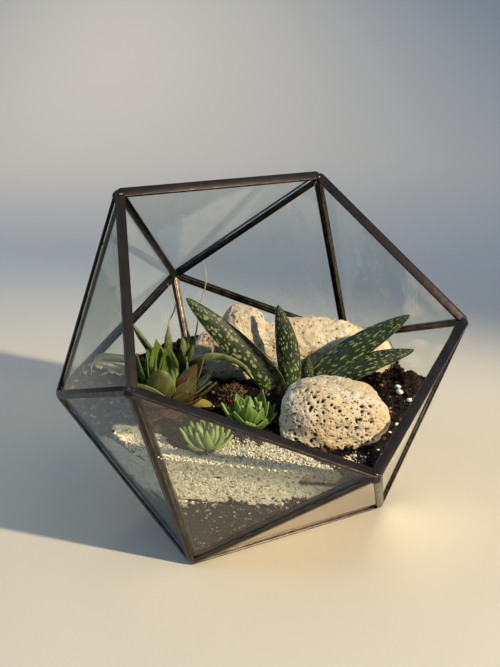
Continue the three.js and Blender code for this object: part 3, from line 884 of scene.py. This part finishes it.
class TERRARIUM_OT_soil(Operator):
    """Makes the potting soil with its crumbs, perlite, bark and clay"""
    bl_idname = "terrarium.soil"
    bl_label = "Potting Soil"

    def execute(self, context):
        settings = context.scene.terrarium.fill
        finish = peat("peat_soil", settings)
        bm = remeshed("potting_soil", cell=1.1)
        strewn = bm.verts.layers.float.new("strewn")
        for vert in bm.verts:
            up = smoothstep(vert.normal.z, 0.2, 0.7)
            rough = (1.5 * noise.noise(vert.co / 4.5) + 1.1 * noise.noise(vert.co / 1.9)
                     + 0.4 * noise.noise(vert.co / 0.9))
            vert[strewn] = sand_cover(vert.co) if vert.co.z > 52 else 0.0
            vert.co += vert.normal * (rough * (0.25 + 0.75 * up) * (1 - 0.6 * vert[strewn])
                                      + 0.8 * vert[strewn] * up)
        top = facing(bm, UP, 0.35, lambda at: at.z > soil_height(at.x, at.y) - 3
                     and sand_cover(at) < 0.5)
        side = facing(bm, LEFT_OUT, 0.8, lambda at: at.x < -50)
        place("soil_bed", bm, finish, "soil", ["potting_soil"])
        draw = random.Random(11)
        shapes = crumb_shapes(draw, count=10, uneven=0.42)
        crumbs, bits = blank(), blank()
        for at, up in draw.choices(**top, k=settings.crumbs):
            size = draw.uniform(0.35, 0.8) * (1 + 1.5 * draw.random() ** 4)
            strew(crumbs, draw, shapes, at + up * size * 0.5,
                  (size, size * draw.uniform(0.6, 1), size * 0.8), 0.7 * draw.random() ** 5)
        self.heaps(crumbs, draw, shapes)
        for at, up in draw.choices(**top, k=LOOSE_BITS):
            kind = draw.random()
            sizes, tones, form = next(rest for upto, *rest in BITS if kind < upto)
            size, tone = draw.uniform(*sizes), draw.uniform(*tones)
            strew(bits, draw, shapes, at + up * size * 0.5, [size * part for part in form],
                  tone)
        for at, out in draw.choices(**side, k=PRESSED_BITS):
            size, tone = draw.uniform(0.3, 0.9), draw.choice((0.1, 0.4, 0.5, 0.5, 0.36, 0.8))
            strew(bits, draw, shapes, at - out * size * 0.5, (size,) * 3, tone)
        for x, y, lift, size, tone in LARGE_BITS:
            at = Vector((x, y, soil_height(x, y) + lift))
            strew(bits, draw, shapes, at, (size, size * 0.85, size * 0.85), tone)
        place("soil_crumbs", crumbs, finish, "soil", smooth=False)
        place("perlite_and_bark", bits, additives(), "soil", smooth=False)
        return {"FINISHED"}

    def heaps(self, crumbs, draw, shapes):
        """Crumbs heaped at the right glass and the left stone, and fallen on the sand."""
        for x, y, rise, spread, height, count in HEAPS:
            for _ in range(count):
                off = Vector((draw.gauss(0, spread * 0.9), draw.gauss(0, spread * 0.8), 0))
                at = Vector((x, y, 0)) + off
                top = height * math.exp(-(off.length / (spread * 1.2)) ** 2)
                at.z = soil_height(at.x, at.y) + rise + top * draw.uniform(0.3, 1.0)
                size = draw.uniform(0.5, 1.3)
                strew(crumbs, draw, shapes, at, (size, size * 0.8, size * 0.9),
                      0.6 * draw.random() ** 4)
        for x, y, spread, count in FALLEN:
            for _ in range(count):
                at = Vector((x + draw.gauss(0, spread), y + draw.gauss(0, spread * 0.5), 0))
                at.z = sand_height(at.x, at.y) + draw.uniform(0.3, 1.0)
                size = draw.uniform(0.4, 0.9)
                strew(crumbs, draw, shapes, at, (size, size * 0.6, size * 0.6),
                      0.8 * draw.random() ** 3)


class TERRARIUM_OT_stones(Operator):
    """Makes the pumice stone and the three pale stones"""
    bl_idname = "terrarium.stones"
    bl_label = "Stones"

    def execute(self, context):
        settings = context.scene.terrarium.stones
        cream, pit_shade = settings.cream, settings.pit_shade
        pumice = rock("pumice", cream, "efd6ab", "c4ae8a", pit_shade, pore=1.5)
        limestone = rock("limestone", cream, "ead7b4", "c0b298", pit_shade, pore=2.4)
        grey = rock("weathered_limestone", "dccfb2", "b9ad97", "857c6b", pit_shade, pore=2.0)
        # finish, unevenness, coarseness, pits by cell, share, radii and depth, and hollows
        skins = {
            "front_stone": (pumice, 1.35, 0.2, [(2.7, 0.95, 0.65, 1.2, 1.7),
                                                (1.5, 0.85, 0.3, 0.6, 0.8)]),
            "rear_stone": (limestone, 1.5, 0.55, [(4.2, 0.55, 0.4, 0.9, 0.9),
                                                 (1.9, 0.5, 0.25, 0.5, 0.4)]),
            "side_stone": (limestone, 1.15, 0.42, [(2.4, 0.4, 0.2, 0.45, 0.35)],
                           [((-15.5, 12.5, 76.5), 4.5, 2.6), ((-8, 8.5, 71.0), 3.4, 1.4),
                            ((2.5, 5.5, 78.5), 2.6, 1.0)]),
            "left_stone": (grey, 0.9, 0.4, [(3.2, 0.6, 0.4, 0.9, 0.8)]),
        }
        for name, (finish, *skin) in skins.items():
            fineness = settings.fineness - (name == "left_stone")
            bm = stone_body(STONES[name], fineness)
            weather(bm, *skin)
            slot = "pumice" if finish is pumice else "limestone"
            place("weathered_" + name, bm, finish, slot, [name])
        return {"FINISHED"}


# ---------------------------------------------------------------- plants

def leaf_place(add):
    """Place across a leaf from -1 to 1, share along it, and 1 at its two margins."""
    shares = add("SeparateXYZ", {"Vector": add("UVMap", uv_map="leaf")})
    turn = add("Math", {0: shares.outputs["X"], 1: math.tau}, **TIMES)
    across = add("Math", {0: turn}, operation="COSINE")
    edge = add("Math", {0: across}, operation="ABSOLUTE")
    return across, shares.outputs["Y"], edge


def gasteria_leaf(name, settings, rows, along, largest, flank):
    """Gasteria leaf: hard, blackish green and finely rough, with pale raised oval spots in
    loose rows and a pale horny margin. A flank past the crease is darkened with painted shade.

    Rows and along count the spots round a leaf and along it. Largest is how far a spot may
    fill its place, and flank how strongly painted shade darkens the flank.
    """
    def build(add, where):
        across, length, edge = leaf_place(add)
        spread = add("Mapping", {"Vector": add("UVMap", uv_map="leaf"),
                                 "Scale": (rows, along, 1)})
        sway = add("TexNoise", {"Vector": spread, "Scale": 0.9, "Detail": 4.0,
                                "Roughness": 0.62})
        bent = add("VectorMath", {0: spread, 1: sway.outputs["Color"]})
        cells = add("TexVoronoi", {"Vector": bent, "Scale": 1.0, "Randomness": 0.85})
        reach = add("MapRange", {0: cells.outputs["Color"], 3: 0.1, 4: largest})
        inside = add("Math", {0: reach, 1: cells}, operation="SUBTRACT")
        spots = add("MapRange", {0: inside, 1: -0.05, 2: 0.1}, **SOFT)
        cloud = patches(add, where, 6, 0.3, 0.7)
        fresh = add("MapRange", {0: length, 1: 0.45, 2: 0.05, 4: 0.5}, **SOFT)
        spotted = add("Math", {0: spots, 1: 0.78}, **TIMES)
        # past the crease the flank is darkened with painted shade, as strongly as flank asks
        crease = add("MapRange", {0: length, 2: 0.75, 3: -0.5, 4: 1.0})
        past = add("Math", {0: across, 1: crease}, operation="SUBTRACT")
        turned = add("MapRange", {0: past, 2: 0.1, 4: flank}, **SOFT)
        horny = add("MapRange", {0: edge, 1: 0.975, 2: 0.998, 4: 0.75}, **SOFT)
        fine = patches(add, where, 0.5, 0.3, 0.7)
        rough = add("MapRange", {0: spots, 3: 0.44, 4: 0.55})
        coats = [(cloud, "2b3a1c"), (fresh, "3a5220"), (spotted, settings.spots),
                 (turned, "0c1209"), (horny, "a3a87c")]
        return settings.gasteria, coats, [(spots, 0.12), (fine, 0.05)], {"Roughness": rough}
    return material(name, build, ior=1.45, specular_ior_level=0.35, subsurface_weight=0.04,
                    subsurface_scale=1.0 * MM)


def plain_leaf(name, stops, margin, root_tint_and_shade, gloss, glow=0.08, edging=0.7, veins=0.0):
    """Succulent leaf: waxy skin whose colour follows the leaf's age, with a paler margin.
    The colour near the root and how strong it is: a red blush on the rosette, painted shade
    at the haworthias' roots, and a darker root on the narrow leaves and the moss."""
    def build(add, where):
        _, length, edge = leaf_place(add)
        tone = add("Attribute", attribute_name="tone").outputs["Fac"]
        cloud = patches(add, where, 4, 0.3, 0.7)
        shift = add("MapRange", {0: cloud, 3: -0.1, 4: 0.1})
        age = add("ValToRGB", {"Fac": add("Math", {0: tone, 1: shift})}, ramp=stops)
        # the colour laid towards the root, painted shade on the haworthias
        low = add("MapRange", {0: length, 1: 0.4, 2: 0.05, 4: root_tint_and_shade[1]}, **SOFT)
        stretched = add("Mapping", {"Vector": add("UVMap", uv_map="leaf"),
                                    "Scale": (26, 2.5, 1)})
        lines = add("TexNoise", {"Vector": stretched, "Scale": 1.0, "Detail": 2.0})
        lined = add("MapRange", {0: lines, 1: 0.45, 2: 0.7, 4: veins}, **SOFT)
        pale = add("MapRange", {0: edge, 1: 0.965, 2: 0.998, 4: edging}, **SOFT)
        fine = patches(add, where, 0.6, 0.3, 0.7)
        rough = add("MapRange", {0: cloud, 3: gloss, 4: gloss + 0.15})
        coats = [(low, root_tint_and_shade[0]), (lined, margin), (pale, margin)]
        return age, coats, [(fine, 0.06)], {"Roughness": rough}
    return material(name, build, ior=1.45, specular_ior_level=0.4, subsurface_weight=glow,
                    subsurface_scale=1.5 * MM)


# Path, width, the way the upper side looks, and the crease.
GASTERIA = {
    "gasteria_leaf_left": (
        [(5, -7, 60), (1, -6, 68), (-13.3, 0.4, 86.2), (-31, 8, 106.7)], 11.8,
        (-0.25, -0.85, 0.3), (1, 1.1, -0.15, 1.2)),
    "gasteria_leaf_upright": (
        [(9.5, -12, 60), (10, -11, 70), (9.6, -9, 83), (6.8, -5.7, 101.2)], 10.4,
        (-0.4, -0.9, 0.1), (-1, -1.0, -0.3, -0.8)),
    "gasteria_leaf_small": (
        [(16.3, -14.6, 60), (17, -14, 68), (18, -13, 77.5)], 6, (-0.4, -0.9, 0.1),
        (-1, -0.8, -0.1, -0.5)),
    "gasteria_leaf_right_upper": (
        [(17, -9, 60), (22, -13, 67), (37.7, -23.8, 82.2), (56.7, -35, 96.5)], 12,
        (-0.5, -0.6, 0.6), (1, -0.6, 0.2, 0.9)),
    "gasteria_leaf_right_lower": (
        [(20, -20, 60), (25, -22, 67), (40, -31.5, 77), (57, -38.7, 81.2)], 9.5,
        (-0.3, -0.6, 0.8), (1, -0.6, 0.2, 0.9)),
}

# Tip of each leaf, its width, and its tone from blue-green over olive to dry red.
BROAD_ROOT = (-44, 1, 62.5)
BROAD_TIPS = [
    (-60.3, 1, 76.2, 9.5, 0.45), (-56.1, 5.6, 86.9, 6, 0.2), (-51.5, 5.4, 84.3, 7, 0.18),
    (-45.1, 9.9, 89.9, 10, 0.3), (-41.4, 5.6, 87.8, 9, 0.34), (-48, 3, 85.7, 4, 0.36),
    (-43.4, -1.3, 79.9, 5, 0.36), (-36.5, 3, 86.4, 8, 0.05), (-35.7, -0.9, 81, 6, 0.3),
    (-34.8, -6, 80.7, 10.5, 0.64), (-29.4, -4.3, 82.8, 8, 0.68),
    (-42.3, -13.3, 73.4, 11, 0.62), (-28.6, -15, 75.3, 7, 0.62), (-59, 10, 80, 8, 0.25),
    (-52, 13, 78, 8, 0.2), (-37, 9, 80, 7, 0.15), (-45.0, 1.8, 82.6, 4.5, 0.38),
    (-40.3, 3.2, 84.6, 4.5, 0.4), (-41.5, -1.6, 79.6, 4.5, 0.36), (-34.5, 2.3, 82.4, 6, 0.28),
    (-38.6, -14.4, 72.8, 7, 0.7), (-49.5, 9.5, 86.5, 8, 0.24), (-40.5, 12.0, 84.5, 8, 0.22),
    (-55.5, -3.5, 72.5, 8, 0.5), (-60.0, 2.0, 74.5, 10, 0.42),
    (-29.0, -10.5, 74.0, 9.5, 0.66), (-57.0, -8.5, 61.5, 9, 0.9),
    (-48.5, -13.5, 63.0, 9, 0.82), (-36.0, -14.5, 69.5, 8.5, 0.78)]
# Width, tone, how blunt it is, and path from the root, for the broad outer leaves, which turn
# their backs out.
OUTER_LEAVES = [
    (12.6, 0.54, 0.5, (-50.5, -5.5, 71), (-50.2, -6, 82)),
    (11.5, 0.55, 0.7, (-53.5, -5, 68), (-62.8, -4.2, 77.6)),
    (9.6, 0.62, 0.8, (-43.5, -9, 68), (-37.0, -11.5, 76.4)),
    (8.4, 0.76, 0.9, (-41, -5, 70), (-34.2, -7.5, 82.2)),
    (6.0, 0.0, 1.0, (-37, -7, 68), (-26.5, -8, 78))]

# Tip of each leaf and its width, for the two haworthias.
BRIGHT_ROOT = (-25, -38, 62)
BRIGHT_TIPS = [
    (-19.2, -37.7, 78, 8.3), (-24.3, -33.8, 75.2, 8.3), (-27.8, -30.8, 76.2, 6.9),
    (-35.5, -32.3, 73.8, 6.9), (-15.6, -43.1, 69.1, 8.3), (-13, -37.5, 70.2, 6.9),
    (-28.3, -41.9, 75.1, 9.7), (-33.7, -40.1, 72.6, 8.3), (-28.4, -36.2, 74.9, 5.5),
    (-22.9, -38, 75.5, 5.5), (-21, -30, 71, 8.3), (-30.5, -29, 70, 8.3), (-22, -46, 69, 8.3),
    (-22.5, -43.0, 73.0, 8.3), (-18.0, -40.5, 73.5, 7.6), (-31.0, -37.5, 76.0, 6.9),
    (-25.5, -38.5, 77.0, 6.2), (-17.0, -34.0, 73.0, 7.6), (-24.5, -29.0, 72.5, 7.6),
    (-35.0, -36.5, 69.5, 8.3), (-30.5, -44.0, 69.0, 8.3)]

PALE_ROOT = (-46, -41.5, 59.5)
PALE_TIPS = [
    (-56, -36.6, 69.7, 4.4), (-53.3, -34.6, 68.8, 4.2), (-52.8, -38.3, 70.3, 4.4),
    (-50.4, -35, 70.9, 4.4), (-43.1, -39, 73.4, 4.2), (-44.3, -36.2, 72.1, 4.2),
    (-39.7, -42, 71.6, 4.4), (-37.5, -46.5, 66.4, 4.7), (-55, -42, 64.5, 4.4),
    (-43.6, -44.4, 70.9, 4.2), (-49.7, -40, 71.8, 4.4), (-48.5, -45.5, 70.5, 4.4),
    (-41, -35, 68, 4.4), (-46.8, -38.0, 73.5, 3.9), (-51.5, -42.5, 69.0, 4.4),
    (-41.0, -38.5, 71.0, 4.2), (-38.0, -39.5, 69.0, 4.4), (-41.5, -46.5, 68.5, 4.4),
    (-47.5, -34.0, 69.5, 4.2), (-45.5, -41.5, 73.0, 3.9), (-55.0, -38.5, 66.5, 4.2),
    (-36.5, -43.0, 68.5, 4.2)]

# Width, where the leaf dries to a thread, and its path from the shared root.
NARROW_ROOT = (-33, 21, 61)
NARROW_LEAVES = [
    (2.6, 0.42, (-31, 17, 70), (-27, 12.5, 80.6), (-21, 14, 102), (-19, 12.7, 112),
     (-20, 13.3, 121)),
    (3.6, 0.52, (-36, 18, 72), (-37, 15.8, 82), (-35.5, 17.2, 93), (-33, 15.8, 101.7),
     (-35.6, 17.3, 111.8)),
    (1.8, 0.6, (-37, 20, 71), (-43.4, 19.2, 81.6), (-52, 24, 95.7), (-56.8, 26.5, 101.3),
     (-58.9, 27.6, 112.7)),
    (1.6, 0.75, (-38, 22, 70), (-45, 21.5, 82), (-49.5, 24, 92), (-51, 24.5, 102.3)),
    (4.2, 1.0, (-31, 18, 71), (-30, 15, 80.7), (-29.8, 15.8, 88.8)),
    (3.6, 0.72, (-45, 20, 74), (-58.8, 18, 80.8), (-66.5, 19.5, 82), (-69, 20.5, 79),
     (-69.5, 22, 74)),
    (3.6, 1.0, (-30.5, 11, 73), (-27, 3.5, 79), (-20.5, 1, 80.2), (-11.5, -3.8, 76.4),
     (-6.5, -6.9, 69.5)),
    (3.4, 1.0, (-29, 17.5, 72), (-27.5, 14.2, 81.5), (-27.8, 14.6, 89.6)),
]


def rosette(bm, root, tips, form, bow, draw, tone=None):
    """Leaves that bow outward from one root to their tips."""
    foot = Vector(root)
    for x, y, z, width, *tones in tips:
        tip = Vector((x, y, z))
        out = Vector((tip.x - foot.x, tip.y - foot.y, 0)).normalized()
        half = foot.lerp(tip, 0.5) + out * bow
        shade = tones[0] if tones else tone + draw.uniform(-0.15, 0.15)
        grow(bm, [foot, half, tip], width, faces=(-out.x, -out.y, 0.8), tone=shade,
             turn=draw.uniform(-14, 14), **form)


class TERRARIUM_OT_gasteria(Operator):
    """Makes the five spotted leaves"""
    bl_idname = "terrarium.gasteria"
    bl_label = "Gasteria Leaves"

    def execute(self, context):
        settings = context.scene.terrarium.plants
        # the banded leaf gets painted shade on its flank, the dashed leaves none
        banded = gasteria_leaf("gasteria_banded", settings, rows=19, along=32, largest=0.64,
                               flank=0.9)
        dashed = gasteria_leaf("gasteria_dashed", settings, rows=27, along=22, largest=0.52,
                               flank=0.0)
        for name, (path, width, faces, fold) in GASTERIA.items():
            bm = blank()
            grow(bm, path, width, 4.8, faces, widest=0.55, base=0.72, rounding=0.62,
                 cup=-0.06, keel=0.35, thin=0.3, around=36, along=44, fold=fold)
            finish = banded if name.endswith("left") else dashed
            place("spotted_" + name, bm, finish, "spotted_leaf", [name])
        return {"FINISHED"}


class TERRARIUM_OT_rosette(Operator):
    """Makes the broad-leaved rosette and the yellow leaf that fell from it"""
    bl_idname = "terrarium.rosette"
    bl_label = "Broad Rosette"

    def execute(self, context):
        stops = [(0.0, "192a20"), (0.22, "446120"), (0.4, "5f7029"), (0.55, "464b24"),
                 (0.75, "573b25"), (1.0, "521f14")]
        skin = plain_leaf("echeveria_leaf", stops, margin="b0a877", root_tint_and_shade=("6e3220", 0.45),
                          gloss=0.4)
        bm = blank()
        form = dict(thickness=1.9, widest=0.52, base=0.5, rounding=0.95, cup=0.3, keel=0.5,
                    thin=0.8, around=18, along=26)
        rosette(bm, BROAD_ROOT, BROAD_TIPS, form, bow=3.2, draw=random.Random(3))
        for width, tone, blunt, *path in OUTER_LEAVES:
            grow(bm, [BROAD_ROOT, *path], width, 2.4, (0.6, 0.75, 0.4), widest=0.6,
                 base=0.4, rounding=blunt, cup=0.26, keel=0.3, thin=0.6,
                 tone=lambda t, tone=tone: tone + 0.1 * (0.6 - t), around=24, along=32)
        place("echeveria", bm, skin, "rosette_leaf", ["broad_rosette"])
        faded = [(0.0, "a08f3c"), (0.5, "8c8136"), (1.0, "725c2a")]
        skin = plain_leaf("withered_leaf", faded, margin="c9b775", root_tint_and_shade=("8a4520", 0.6),
                          gloss=0.5)
        bm = blank()
        fallen = [(-40.5, -9.8, 63.6), (-35.5, -12.3, 65.6), (-30.8, -14.6, 65.0)]
        grow(bm, fallen, 5.0, 1.2, (0.2, -0.5, 0.8), rounding=0.6, cup=0.4)
        place("withered_leaf", bm, skin, "yellow_leaf", ["fallen_yellow_leaf"])
        return {"FINISHED"}


class TERRARIUM_OT_narrow(Operator):
    """Makes the plant with long narrow leaves that dry to threads"""
    bl_idname = "terrarium.narrow"
    bl_label = "Narrow-leaved Plant"

    def execute(self, context):
        stops = [(0.0, "22331f"), (0.3, "44522b"), (0.55, "7b8250"), (0.72, "c4b988"),
                 (1.0, "b8966a")]
        skin = plain_leaf("gasteria_seedling_leaf", stops, margin="a9ad84",
                          root_tint_and_shade=("2f3a1c", 0.4), gloss=0.42)
        bm = blank()
        for width, thread, *path in NARROW_LEAVES:
            def dryness(t, thread=thread):
                return 0.15 + 0.35 * t + 0.4 * smoothstep(t, thread - 0.1, thread + 0.15)
            grow(bm, [NARROW_ROOT, *path], width, 2.4, (-0.5, -0.8, 0.2), widest=0.3,
                 base=0.8, rounding=0.55, thread=thread, tone=dryness, around=12, along=40,
                 wave=0.7 if thread < 1 else 0.0, turn=25)
        place("seedling_leaves", bm, skin, "narrow_leaf", ["narrow_leaf_plant"])
        return {"FINISHED"}


YOUNG_LEAVES = 7  # that stand upright in the middle of a haworthia


class TERRARIUM_OT_haworthias(Operator):
    """Makes the bright and the pale small haworthia"""
    bl_idname = "terrarium.haworthias"
    bl_label = "Small Haworthias"

    def execute(self, context):
        settings = context.scene.terrarium.plants
        draw = random.Random(8)
        # name, root, tips, its leaf's form, colours, slot and node
        for name, root, tips, form, dark, middle, light, slot, stands_for in (
                ("bright", BRIGHT_ROOT, BRIGHT_TIPS,
                 dict(thickness=2.0, widest=0.42, base=0.66, rounding=0.95, cup=0.22,
                      keel=0.9, thin=0.5),
                 "22340f", settings.bright, "b2c273", "bright_leaf", "small_haworthia"),
                ("pale", PALE_ROOT, PALE_TIPS,
                 dict(thickness=2.2, widest=0.3, base=0.75, rounding=0.85, cup=0.1,
                      keel=0.4),
                 "4d6a30", settings.pale, "b3bd74", "pale_leaf", "pale_haworthia")):
            stops = [(0.0, dark), (0.5, middle), (1.0, light)]
            # the dark colour towards the root is painted shade inside the rosette
            skin = plain_leaf(f"{name}_haworthia_leaf", stops, margin=light,
                              root_tint_and_shade=(dark, 0.7), gloss=0.38, glow=0.12, edging=0.6, veins=0.3)
            bm = blank()
            form = {**form, "around": 14, "along": 20}
            rosette(bm, root, tips, form, bow=1.8, draw=draw, tone=0.5)
            x, y, z = root
            inner = [(x + 4.2 * math.cos(2.4 * k), y + 4.2 * math.sin(2.4 * k),
                      z + 11 + 0.6 * (k % 3), 3.2) for k in range(YOUNG_LEAVES)]
            rosette(bm, root, inner, form, bow=0.6, draw=draw, tone=0.62)
            place(f"{name}_haworthia", bm, skin, slot, [stands_for])
        return {"FINISHED"}


MOSS_AT = Vector((-18.5, -9.5, 64.5))
MOSS_STRANDS = 230


class TERRARIUM_OT_moss(Operator):
    """Makes the tuft of dry moss"""
    bl_idname = "terrarium.moss"
    bl_label = "Dry Moss"

    def execute(self, context):
        stops = [(0.0, "2e2013"), (0.5, "5f4529"), (1.0, "9c7c4e")]
        skin = plain_leaf("dry_moss", stops, margin="8f7248", root_tint_and_shade=("2a1c10", 0.6),
                          gloss=0.8, glow=0.0)
        draw = random.Random(21)
        bm = blank()
        for _ in range(MOSS_STRANDS):
            way = Vector((draw.gauss(0, 1), draw.gauss(0, 1), abs(draw.gauss(0, 0.8)) + 0.1))
            way.normalize()
            path = [MOSS_AT + Vector((way.x * 4.8, way.y * 4.4, way.z * 3.4))]
            heading = way
            for _ in range(4):
                swing = Vector([draw.gauss(0, 1) for _ in range(3)])
                heading = (heading + swing * 0.75).normalized()
                path.append(path[-1] + heading * draw.uniform(0.5, 1.1))
            grow(bm, path, draw.uniform(0.35, 0.6), 0.35, (0.2, -0.5, 0.8), widest=0.2,
                 base=0.8, rounding=0.7, tone=draw.random(), around=4, along=7)
        place("moss_tuft", bm, skin, "moss", ["dry_moss"])
        return {"FINISHED"}


# ---------------------------------------------------------------- stage

CAMERA_AT = Vector((-0.1978, -0.3563, 0.2300))
CAMERA_AIM = Vector((0.45058, 0.82944, -0.33016))
CAMERA_ROLL = math.radians(-0.65)
MIDDLE = Vector((0, 0, 0.07))  # the middle of the vessel, which the lamps are set round
SWEEP_TURN = math.radians(28.5)  # the wall stands square to the camera
# The sweep, in metres: half its width, how far its floor reaches before and behind the
# vessel, the radius of its curve and the height of its wall over that.
SWEEP_HALF, FLOOR_FRONT, FLOOR_BACK, SWEEP_CURVE, WALL_HEIGHT = 4, 3.0, 1.0, 0.6, 1.6
FLOOR_GAP = 0.0001  # keeps the floor's face off the floor pane's


def around(azimuth, elevation, distance):
    """The place that far from the terrarium, turned to the right from its front."""
    turn, lift = math.radians(azimuth), math.radians(elevation)
    out = Vector((math.sin(turn) * math.cos(lift), -math.cos(turn) * math.cos(lift),
                  math.sin(lift)))
    return MIDDLE + out * distance


def matt_paint(settings):
    """Matt wall paint on board: flat and pale, with a faint orange-peel relief. Further back
    and up the wall it turns darker and cooler, painted shade on the wall, and far to the left
    it turns grey, painted shade that keeps its glare off the far left pane."""
    def build(add, where):
        turned = add("Mapping", {"Vector": where, "Rotation": (0, 0, SWEEP_TURN)})
        axes = add("SeparateXYZ", {"Vector": turned})
        away = axes.outputs["Y"]
        # darker, cooler paint further back and up the wall: painted shade
        far = add("MapRange", {0: away, 1: 0.08, 2: 0.5}, **SOFT)
        aside = add("Math", {0: away, 1: 0.25, 2: axes.outputs["X"]},
                    operation="MULTIPLY_ADD")
        # grey far to the left, out of sight: painted shade
        grey = add("MapRange", {0: aside, 1: -0.14, 2: -0.45, 4: 0.8}, **SOFT)
        fine = patches(add, where, 1.5, 0.3, 0.7)
        return settings.floor, [(far, settings.wall), (grey, "565e64")], [(fine, 0.02)], {}
    return material("matt_paint", build, roughness=0.75, ior=1.5)


class TERRARIUM_OT_stage(Operator):
    """Makes the floor, its sweep, the lamps and the camera"""
    bl_idname = "terrarium.stage"
    bl_label = "Stage"

    def execute(self, context):
        settings = context.scene.terrarium.stage
        scene = context.scene
        self.sweep(settings)
        self.lights(scene, settings)
        camera = bpy.data.cameras.new("camera")
        camera.lens = settings.lens
        camera.clip_start, camera.clip_end = 0.01, 20
        holder = set_up("camera", camera)
        holder.location = CAMERA_AT
        aim = CAMERA_AIM.to_track_quat("-Z", "Y") @ Quaternion((0, 0, 1), CAMERA_ROLL)
        holder.rotation_euler = aim.to_euler()
        scene.camera = holder
        scene.view_settings.view_transform = "Standard"
        return {"FINISHED"}

    def sweep(self, settings):
        """A floor that curves up into a wall behind, as one sheet."""
        bm = bmesh.new()
        bmesh.ops.create_grid(bm, x_segments=8, y_segments=90, size=1)
        bend = SWEEP_CURVE * math.pi / 2
        length = FLOOR_FRONT + FLOOR_BACK + bend + WALL_HEIGHT
        for vert in bm.verts:
            run = (vert.co.y + 1) / 2 * length - FLOOR_FRONT
            turned = min(max(run - FLOOR_BACK, 0) / SWEEP_CURVE, math.pi / 2)
            rise = max(run - FLOOR_BACK - bend, 0)
            deep = min(run, FLOOR_BACK) + SWEEP_CURVE * math.sin(turned)
            vert.co = (vert.co.x * SWEEP_HALF, deep,
                       SWEEP_CURVE * (1 - math.cos(turned)) + rise)
        bmesh.ops.rotate(bm, verts=bm.verts, cent=(0, 0, 0),
                         matrix=Matrix.Rotation(-SWEEP_TURN, 3, "Z"))
        bmesh.ops.translate(bm, verts=bm.verts, vec=(0, 0, -FLOOR_GAP))
        for face in bm.faces:
            face.smooth = True
        mesh = mesh_of("sweep", bm)
        mesh.materials.append(matt_paint(settings))
        floor = set_up("sweep", mesh)

    def lights(self, scene, settings):
        """A warm key from the front right, a wash on the wall, a cool rim from the left, and
        cool light from all round."""
        world = bpy.data.worlds.new("studio")
        scene.world = world
        world.use_nodes = True
        world.node_tree.nodes.clear()
        add = partial(node, world.node_tree)
        way = add("SeparateXYZ", {"Vector": add("TexCoord")})
        sky = add("ValToRGB", {"Fac": way.outputs["Z"]}, ramp=[
            (0.0, "6b757d"), (0.2, "5e738a"), (1.0, "6c88a4")])
        light = add("Background", {"Color": sky, "Strength": settings.sky})
        add("OutputWorld", {"Surface": light})
        # name, where it stands, what it looks at, radius, colour, cone in degrees and its
        # blend, or none for a disk
        for name, at, aim, radius, shade, cone in (
                ("key", around(26, 29, 1.6), (0.04, -0.12, 0), 0.03, "ffebc8", (26, 0.7)),
                ("wash", (0.3, 1.25, 1.05), (0.42, 1.0, 0), 0.2, "ffe0b6", (100, 1.0)),
                ("rim", around(-105, 35, 1.5), MIDDLE, 0.45, "bcd2ea", None)):
            lamp = bpy.data.lights.new(name, "SPOT" if cone else "AREA")
            lamp.energy = getattr(settings, name)
            lamp.color = linear(shade)
            if cone:
                lamp.spot_size, lamp.spot_blend = math.radians(cone[0]), cone[1]
                lamp.shadow_soft_size = radius
            else:
                lamp.shape = "DISK"
                lamp.size = 2 * radius
            holder = set_up(name, lamp)
            holder.location = at
            way = Vector(aim) - Vector(at)
            holder.rotation_euler = way.to_track_quat("-Z", "Y").to_euler()


# ---------------------------------------------------------------- the panel and the run

SETTINGS = (TerrariumGlass, TerrariumStrips, TerrariumFill, TerrariumStones,
            TerrariumPlants, TerrariumStage, TerrariumSettings)
STEPS = (TERRARIUM_OT_stage, TERRARIUM_OT_glass, TERRARIUM_OT_strips, TERRARIUM_OT_solder,
         TERRARIUM_OT_grit, TERRARIUM_OT_sand, TERRARIUM_OT_soil, TERRARIUM_OT_stones,
         TERRARIUM_OT_gasteria, TERRARIUM_OT_rosette, TERRARIUM_OT_narrow,
         TERRARIUM_OT_haworthias, TERRARIUM_OT_moss)


class TERRARIUM_PT_panel(Panel):
    """Lists the terrarium's settings and steps"""
    bl_idname = "TERRARIUM_PT_panel"
    bl_label = "Glass Terrarium"
    bl_space_type = "VIEW_3D"
    bl_region_type = "UI"
    bl_category = "Terrarium"

    def draw(self, context):
        for step in STEPS:
            self.layout.operator(step.bl_idname)
        settings = context.scene.terrarium
        for group in ("glass", "strips", "fill", "stones", "plants", "stage"):
            box = self.layout.box()
            box.label(text=group.title())
            values = getattr(settings, group)
            for name in values.__annotations__:
                box.prop(values, name)


def register():
    for group in (*SETTINGS, *STEPS, TERRARIUM_PT_panel):
        bpy.utils.register_class(group)
    bpy.types.Scene.terrarium = PointerProperty(type=TerrariumSettings)


def unregister():
    del bpy.types.Scene.terrarium
    for group in reversed((*SETTINGS, *STEPS, TERRARIUM_PT_panel)):
        bpy.utils.unregister_class(group)


def main():
    register()
    for step in STEPS:
        group, name = step.bl_idname.split(".")
        getattr(getattr(bpy.ops, group), name)()


if __name__ == "__main__":
    main()
